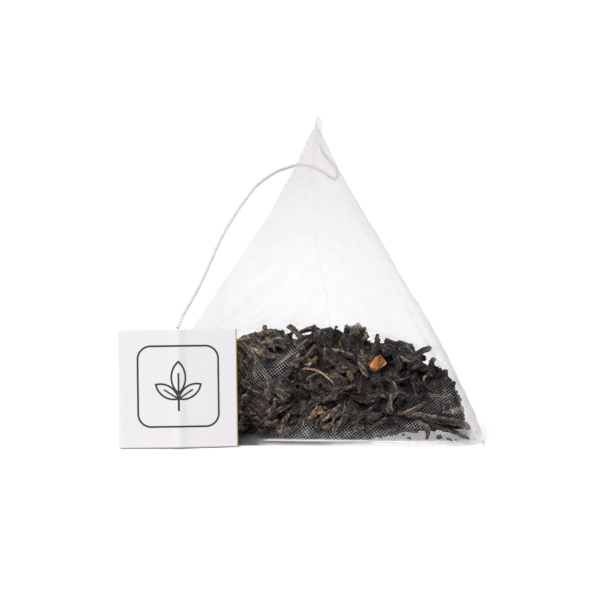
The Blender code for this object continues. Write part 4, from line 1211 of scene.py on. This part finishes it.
def weave_group():
    """Threads of a plain weave, two sets of bars square to each other and turned on the flat map,
    and the knots where they cross.
    """
    number = "NodeSocketFloat"
    tree, write, given, out = new_group(
        "Woven threads",
        [("Flat Map", "NodeSocketVector", None), ("Pitch", number, 0.32),
         ("Thread Share", number, 0.4), ("Knot Share", number, 0.4), ("Turn", number, 0.65)],
        [("Thread", number), ("Knot", number), ("Height", number)])
    parts = write.parts(given["Flat Map"])
    cosine = write.math("COSINE", given["Turn"])
    sine = write.math("SINE", given["Turn"])
    waves = []
    for first, second, sign in ((cosine, sine, 1.0), (sine, cosine, -1.0)):
        turned = write.math("MULTIPLY_ADD", parts[0], first,
                            write.times(write.times(parts[1], second), sign))
        phase = write.times(write.math("DIVIDE", turned, given["Pitch"]), 2 * math.pi)
        waves.append(write.math("MULTIPLY_ADD", write.math("COSINE", phase), 0.5, 0.5))
    for share, join, result in (("Thread Share", "MAXIMUM", "Thread"),
                                ("Knot Share", "MINIMUM", "Knot")):
        cosine = write.math("COSINE", write.times(given[share], math.pi))
        floor = write.math("MULTIPLY_ADD", cosine, 0.5, 0.5)
        bars = [write.spread(wave, write.math("SUBTRACT", floor, 0.04),
                             write.math("ADD", floor, 0.04)) for wave in waves]
        write.fill(out, {result: write.math(join, *bars)})
    write.fill(out, {"Height": write.math("ADD", *waves)})
    return tree


def new_finish(name):
    """A material with its Principled shader and a writer of nodes."""
    made = bpy.data.materials.new(name)
    made.use_nodes = True
    write = Nodes(made.node_tree)
    return made, write, made.node_tree.nodes["Principled BSDF"].inputs


# Film colours; among them painted shade, the tag's painted shadow, and painted light and glow.
FILM_COLORS = {
    "knot": (0.022, 0.020, 0.020), "dull": (0.02, 0.019, 0.02), "lit": (0.62, 0.61, 0.62),
    "veil": (0.71, 0.67, 0.71), "high veil": (0.70, 0.67, 0.70), "ground": (0.96, 0.945, 0.95),
    "far ground shade": (0.70, 0.69, 0.695), "seal_shade": (0.12, 0.117, 0.12), "fin light": (0.93, 0.92, 0.93),
    "weld": (0.88, 0.87, 0.88), "tag_shadow": (0.14, 0.137, 0.14), "none": (0.0, 0.0, 0.0),
    "fin glow": (0.20, 0.197, 0.20), "ground glow": (0.36, 0.348, 0.354),
}


def film_finish(name, weave, knots):
    """Sheer woven film: clear over the tea but for the knots of the weave, which are dark or catch
    the light, and a pale even veil where no tea lies behind. Only the outer wall shows knots.
    Painted shade lies along the front seal and the tag's painted shadow beside the tag; the front
    fin and the base under the heap's toe carry painted light, whitened and glowing.
    """
    made, write, shader = new_finish(name)
    flat = write.flat_map()
    milk, haze, weld, seal_shade, low, tag_shadow, toe_glow_share = (write.attribute(key) for key in (
        "milk", "haze", "weld", "seal_shade", "low", "tag_shadow", "glow"))
    patch = write.grain(flat, 0.28, 0.28, 2.0, 0.5)
    caught = write.spread(write.grain(flat, 1.1, 1.1, 3.0, 0.6), 0.3, 0.6, 0.6, 1.1)
    lit = write.most(write.times(write.attribute("glint"), caught),
                     write.spread(patch, 0.46, 0.66, 0.0, 0.12))
    lit = write.math("MINIMUM", lit, 1.0)
    threads = write.add("ShaderNodeGroup", {
        "Flat Map": flat, "Thread Share": 0.12, "Pitch": WEAVE_PITCH / MM, "Turn": WEAVE_TURN,
        "Knot Share": write.math("MULTIPLY_ADD", lit, 0.16, 0.36)}, node_tree=weave).outputs
    knot = write.times(threads["Knot"], write.spread(lit, 0.015, 0.02, 0.0, knots))

    # How dense the veil is where no tea lies behind
    parts = write.parts(flat)
    off_fold = write.math("ADD", parts[0], write.math(
        "MULTIPLY_ADD", parts[1], 0.5, (CREASE_INSET - SEAL_LENGTH / 2) / MM))
    crease = write.spread(write.math("ABSOLUTE", off_fold), 0.05, 0.5, 1.0, 0.0)
    crease = write.times(crease, write.math("MULTIPLY_ADD", haze, -0.7, 1.0))
    crease = write.times(crease, write.spread(parts[1], 0.0, 1.0))
    streaks = write.grain(flat, 0.35, 0.035, 2.0, 0.5)
    veil = write.math("ADD", write.math("MULTIPLY_ADD", threads["Thread"], 0.006, 0.101),
                      write.spread(streaks, 0.3, 0.7, -0.012, 0.012))
    for value, weight in ((haze, 0.15), (write.attribute("side"), 0.04), (crease, 0.2),
                          (write.attribute("flank"), 0.06)):
        veil = write.math("MULTIPLY_ADD", value, weight, veil)
    veil = write.times(veil, write.math("MULTIPLY_ADD", write.attribute("light"), -0.2, 1.0))
    alpha = write.add("ShaderNodeMix", {0: milk, 2: knot, 3: veil}).outputs[0]
    # Denser film for the base under the toe, the weld, the painted shade along the seal and the
    # tag's painted shadow.
    for value, weight in ((low, 1.0), (weld, 0.85), (seal_shade, 0.95), (tag_shadow, 0.4)):
        alpha = write.most(alpha, write.times(value, weight))
    alpha = write.times(alpha, write.math("MULTIPLY_ADD", write.attribute("rear"), -0.8, 1.0))

    # Painted light on the front fin: whiter streaks that also glow.
    fin_light_streaks = write.math("MULTIPLY_ADD", write.attribute("shine"), 0.5,
                       write.grain(flat, 0.22, 1.3, 2.0, 0.5))
    fin_light_streaks = write.spread(fin_light_streaks, 0.68, 0.95)
    tones = FILM_COLORS
    color = write.mix(knot, tones["knot"], write.mix(lit, tones["dull"], tones["lit"]))
    color = write.mix(milk, color, write.mix(haze, tones["veil"], tones["high veil"]))
    # Painted light on the base under the heap's toe: pale and glowing, greyer towards its right
    # end.
    color = write.mix(low, color, write.mix(toe_glow_share, tones["far ground shade"], tones["ground"]))
    # Colours of the painted shade under the seal, the fin's painted light, the weld and the tag's
    # painted shadow.
    for share, tone in ((seal_shade, "seal_shade"), (fin_light_streaks, "fin light"), (weld, "weld"), (tag_shadow, "tag_shadow")):
        color = write.mix(share, color, tones[tone])
    # Painted light: the front fin and the base under the heap's toe glow.
    glow = write.mix(fin_light_streaks, tones["none"], tones["fin glow"])
    glow = write.mix(write.times(low, toe_glow_share), glow, tones["ground glow"])
    write.fill(shader, {
        "Base Color": color, "Alpha": write.math("MINIMUM", alpha, 1.0), "Emission Color": glow,
        "Emission Strength": 1.0, "Roughness": 0.5, "Specular IOR Level": 0.25,
        "Normal": write.bump(threads["Height"], 0.15, 0.03 * MM)})
    return made


def tea_finish(name, ramp, rough=(0.45, 0.75), streak=0.6):
    """Dry leaf: a colour by the leaf's tone, fine dark and light fibres along it, and wrinkles."""
    made, write, shader = new_finish(name)
    flat = write.flat_map()
    fibres = write.grain(flat, 4.4, 2.4, 3.0, 0.65)
    streaks = write.grain(flat, 1.8, 0.6, 3.0, 0.6)
    mottle = write.grain(flat, 0.8, 0.6, 3.0, 0.65)
    crinkle = write.grain(flat, 3.2, 2.6, 3.0, 0.6)
    shifted = write.math("ADD", write.attribute("tone"),
                         write.math("MULTIPLY_ADD", mottle, 0.5, -0.25))
    tones = write.add("ShaderNodeValToRGB", {"Fac": shifted})
    bands = tones.color_ramp.elements
    for band, (place, color) in zip((bands[0], bands[1]), (ramp[0], ramp[-1])):
        band.position, band.color = place, (*color, 1.0)
    for place, color in ramp[1:-1]:
        bands.new(place).color = (*color, 1.0)
    # Painted light on the leaves' ridges and painted shade in their folds.
    ridge_shading = write.spread(write.attribute("ridge_shading"), 0.2, 0.9, 0.4, 1.7)
    shade = write.times(ridge_shading, write.spread(streaks, 0.38, 0.62, 1.0 - streak, 1.0 + streak))
    shade = write.times(shade, write.spread(fibres, 0.41, 0.59, 1.0 - streak, 1.0 + streak))
    hue = write.grain(write.stretched(write.place(), (400.0, 400.0, 400.0)), 1.0, 1.0, 2.0, 0.5)
    tint = write.mix(write.spread(hue, 0.4, 0.6), (1.03, 0.965, 1.02), (1.0, 1.03, 0.91))
    scaled = write.add("ShaderNodeVectorMath", {
        0: write.stretched(tones.outputs["Color"], tint), "Scale": shade}, operation="SCALE")
    relief = write.math("MULTIPLY_ADD", fibres, 0.5, crinkle)
    write.fill(shader, {
        "Base Color": scaled.outputs[0], "Roughness": write.spread(fibres, 0.3, 0.7, *rough),
        "Specular IOR Level": 0.13, "Normal": write.bump(relief, 1.0, 0.3 * MM)})
    return made


TEA_TONES = ((0.0, (0.014, 0.012, 0.0125)), (0.33, (0.036, 0.030, 0.029)),
             (0.55, (0.072, 0.058, 0.051)), (0.72, (0.105, 0.083, 0.067)),
             (0.88, (0.145, 0.108, 0.082)), (1.0, (0.21, 0.13, 0.08)))
BARK_TONES = ((0.0, (0.42, 0.15, 0.035)), (0.6, (0.62, 0.27, 0.075)), (1.0, (0.80, 0.42, 0.16)))
STEM_TONES = ((0.0, (0.26, 0.16, 0.095)), (0.6, (0.42, 0.29, 0.19)), (1.0, (0.60, 0.45, 0.32)))
TWIG_TONES = ((0.0, (0.06, 0.045, 0.038)), (0.6, (0.11, 0.08, 0.065)), (1.0, (0.17, 0.13, 0.11)))


def cotton_finish():
    """White cotton: painted shade in the grooves between plies, fine fibres that follow the lay."""
    made, write, shader = new_finish("cotton_yarn")
    fibres = write.grain(write.flat_map(), 9.0, 4.0, 4.0, 0.6)
    # Painted shade: grey in the grooves between plies, white on their crowns.
    depth = write.spread(write.attribute("groove"), 0.0, 0.9)
    color = write.mix(depth, (0.40, 0.39, 0.40), (0.78, 0.765, 0.78))
    write.fill(shader, {
        "Base Color": write.mix(write.times(fibres, 0.3), color, (0.50, 0.49, 0.50)),
        "Roughness": write.spread(fibres, 0.2, 0.8, 0.8, 0.95), "Sheen Weight": 0.3,
        "Normal": write.bump(fibres, 0.6, 0.05 * MM)})
    return made


def line_mask(write, edge, half):
    """A soft-edged line where a distance is under half the line's width."""
    return write.spread(edge, half - LINE_BLUR, half + LINE_BLUR, 1.0, 0.0)


def distance(write, first, second):
    """Length of a way from its two parts."""
    return write.math("SQRT", write.math("ADD", write.times(first, first),
                                         write.times(second, second)))


def leaf_outline(write, place, root, turn, half_long, half_wide):
    """Mask of a leaf's outline and midrib: two equal arcs that meet at the leaf's two ends."""
    parts = write.parts(place)
    sine, cosine = math.sin(turn), math.cos(turn)
    aside = write.math("SUBTRACT", parts[0], root[0] - sine * half_long)
    along = write.math("SUBTRACT", parts[1], root[1] + cosine * half_long)
    u = write.math("MULTIPLY_ADD", aside, cosine, write.times(along, sine))
    v = write.math("MULTIPLY_ADD", along, cosine, write.times(aside, -sine))
    radius = (half_long ** 2 + half_wide ** 2) / (2 * half_wide)
    wide = write.math("ABSOLUTE", u)
    away = distance(write, write.math("ADD", wide, radius - half_wide), v)
    edge = write.math("ABSOLUTE", write.math("SUBTRACT", away, radius))
    rib = write.spread(wide, INK_LINE / 2 - 0.06, INK_LINE / 2 + 0.02, 1.0, 0.0)
    near = write.spread(write.math("ABSOLUTE", write.math("ADD", v, half_long * 0.35)),
                        half_long * 0.62, half_long * 0.66, 1.0, 0.0)
    return write.most(line_mask(write, edge, INK_LINE / 2), write.times(rib, near))


def sprig_group():
    """A printed mark: a rounded square line with a plain sprig of three leaves inside."""
    tree, write, given, out = new_group(
        "Printed sprig", [("Flat Map", "NodeSocketVector", None)], [("Ink", "NodeSocketFloat")])
    middle = write.add("ShaderNodeVectorMath", {0: given["Flat Map"], 1: (0.0, SPRIG_HEIGHT, 0.0)},
                       operation="SUBTRACT").outputs[0]
    parts = write.parts(middle)
    over = [write.most(write.math("SUBTRACT", write.math("ABSOLUTE", part),
                                  FRAME_HALF - FRAME_ROUND), 0.0) for part in (parts[0], parts[1])]
    edge = write.math("ABSOLUTE", write.math("SUBTRACT", distance(write, *over), FRAME_ROUND))
    ink = line_mask(write, edge, INK_LINE / 2)
    for leaf in SPRIG_LEAVES:
        ink = write.most(ink, leaf_outline(write, middle, *leaf))
    stem_x = line_mask(write, write.math("ABSOLUTE", parts[0]), INK_LINE / 2)
    stem_y = write.spread(write.math("ABSOLUTE", write.math("ADD", parts[1], 3.4)),
                          1.1, 1.2, 1.0, 0.0)
    write.fill(out, {"Ink": write.most(ink, write.times(stem_x, stem_y))})
    return tree


def card_finish(name, base, sprig=None):
    """Smooth white card with faint fibres and clouding, and the printed mark where it has one."""
    made, write, shader = new_finish(name)
    place = write.place()
    fibres = write.noise(place, 4500.0, 4.0, 0.65)
    shade = write.math("MULTIPLY_ADD", write.math("ADD", fibres, write.noise(place, 160.0, 2.0)),
                       0.03, -0.03)
    color = write.mix(write.math("ADD", shade, 0.5), tuple(value * 0.95 for value in base),
                      tuple(min(value * 1.02, 1.0) for value in base))
    if sprig:
        flat = write.flat_map()
        face = write.attribute("face")
        mark = write.add("ShaderNodeGroup", {0: flat}, node_tree=sprig)
        inked = write.times(write.times(mark.outputs[0], face),
                            write.spread(fibres, 0.2, 0.5, 0.9, 1.0))
        color = write.mix(inked, color, (0.018, 0.014, 0.012))
        end = TAG_WIDTH / MM / 2
        cut = write.spread(write.parts(flat)[0], end - 0.26, end - 0.16)
        color = write.mix(write.times(cut, face), color, (0.42, 0.29, 0.06))
    write.fill(shader, {"Base Color": color, "Roughness": 0.7,
                        "Normal": write.bump(fibres, 0.25, 0.02 * MM)})
    return made


def floor_finish():
    """Pale, almost white, with a faint cloud."""
    made, write, shader = new_finish("pale_floor")
    patch = write.noise(write.place(), 3.0, 2.0)
    write.fill(shader, {"Base Color": write.mix(patch, (0.94, 0.94, 0.945), (0.96, 0.96, 0.965)),
                        "Roughness": 0.9, "Specular IOR Level": 0.1})
    return made


# Stage


def way_to(azimuth, elevation):
    """Direction from the bag to a place at an azimuth from its front and at an elevation."""
    return Vector((math.sin(azimuth) * math.cos(elevation),
                   -math.cos(azimuth) * math.cos(elevation), math.sin(elevation)))


def add_stage():
    """A large pale floor, an even white sky and one wide soft light from the upper left."""
    corners = [(x * FLOOR_HALF, y * FLOOR_HALF, 0.0)
               for x, y in ((-1, -1), (1, -1), (1, 1), (-1, 1))]
    mesh = bpy.data.meshes.new("floor")
    mesh.from_pydata(corners, [], [(0, 1, 2, 3)])
    mesh.materials.append(floor_finish())
    floor = new_object("floor", mesh)
    world = bpy.data.worlds.new("even_sky")
    world.use_nodes = True
    world.node_tree.nodes["Background"].inputs["Color"].default_value = (1.0, 1.0, 1.0, 1.0)
    world.node_tree.nodes["Background"].inputs["Strength"].default_value = SKY_STRENGTH
    bpy.context.scene.world = world
    light = bpy.data.lights.new("key", "SUN")
    light.energy = KEY_STRENGTH
    light.angle = KEY_SPREAD
    lamp = new_object("key", light)
    toward = way_to(KEY_AZIMUTH, KEY_ELEVATION)
    lamp.rotation_euler = toward.to_track_quat("Z", "Y").to_euler()
    bpy.context.scene.view_settings.view_transform = "Standard"


def add_camera():
    """The camera at the photograph's angle and distance."""
    data = bpy.data.cameras.new("camera")
    data.lens = VIEW_LENS
    data.sensor_width = VIEW_SENSOR
    data.sensor_fit = "HORIZONTAL"
    data.clip_start = 0.01
    data.clip_end = 50.0
    camera = new_object("camera", data)
    away = way_to(VIEW_AZIMUTH, VIEW_ELEVATION)
    camera.location = Vector(VIEW_TARGET) + away * VIEW_DISTANCE
    camera.rotation_euler = away.to_track_quat("Z", "Y").to_euler()
    bpy.context.scene.camera = camera


add_camera()
tag_piece = add_tag([card_finish("tag_card", (0.66, 0.64, 0.66), sprig_group()),
                     card_finish("tag_edge", (0.72, 0.66, 0.48))])
add_string(cotton_finish())
WEAVE = weave_group()
add_film([film_finish("sheer_film", WEAVE, 1.0), film_finish("film_inside", WEAVE, 0.0)])
TEA = tea_finish("tea_leaf", TEA_TONES)
add_heap(TEA)
add_large_leaves(TEA)
add_loose_leaves(TEA)
add_seen_leaves(TEA)
add_shown_pieces({"bark": tea_finish("orange_bark", BARK_TONES, (0.6, 0.8), 0.4),
                  "stem": tea_finish("tan_stem", STEM_TONES, (0.6, 0.8), 0.25),
                  "twig": tea_finish("grey_twig", TWIG_TONES, (0.6, 0.85), 0.35)})
add_stage()
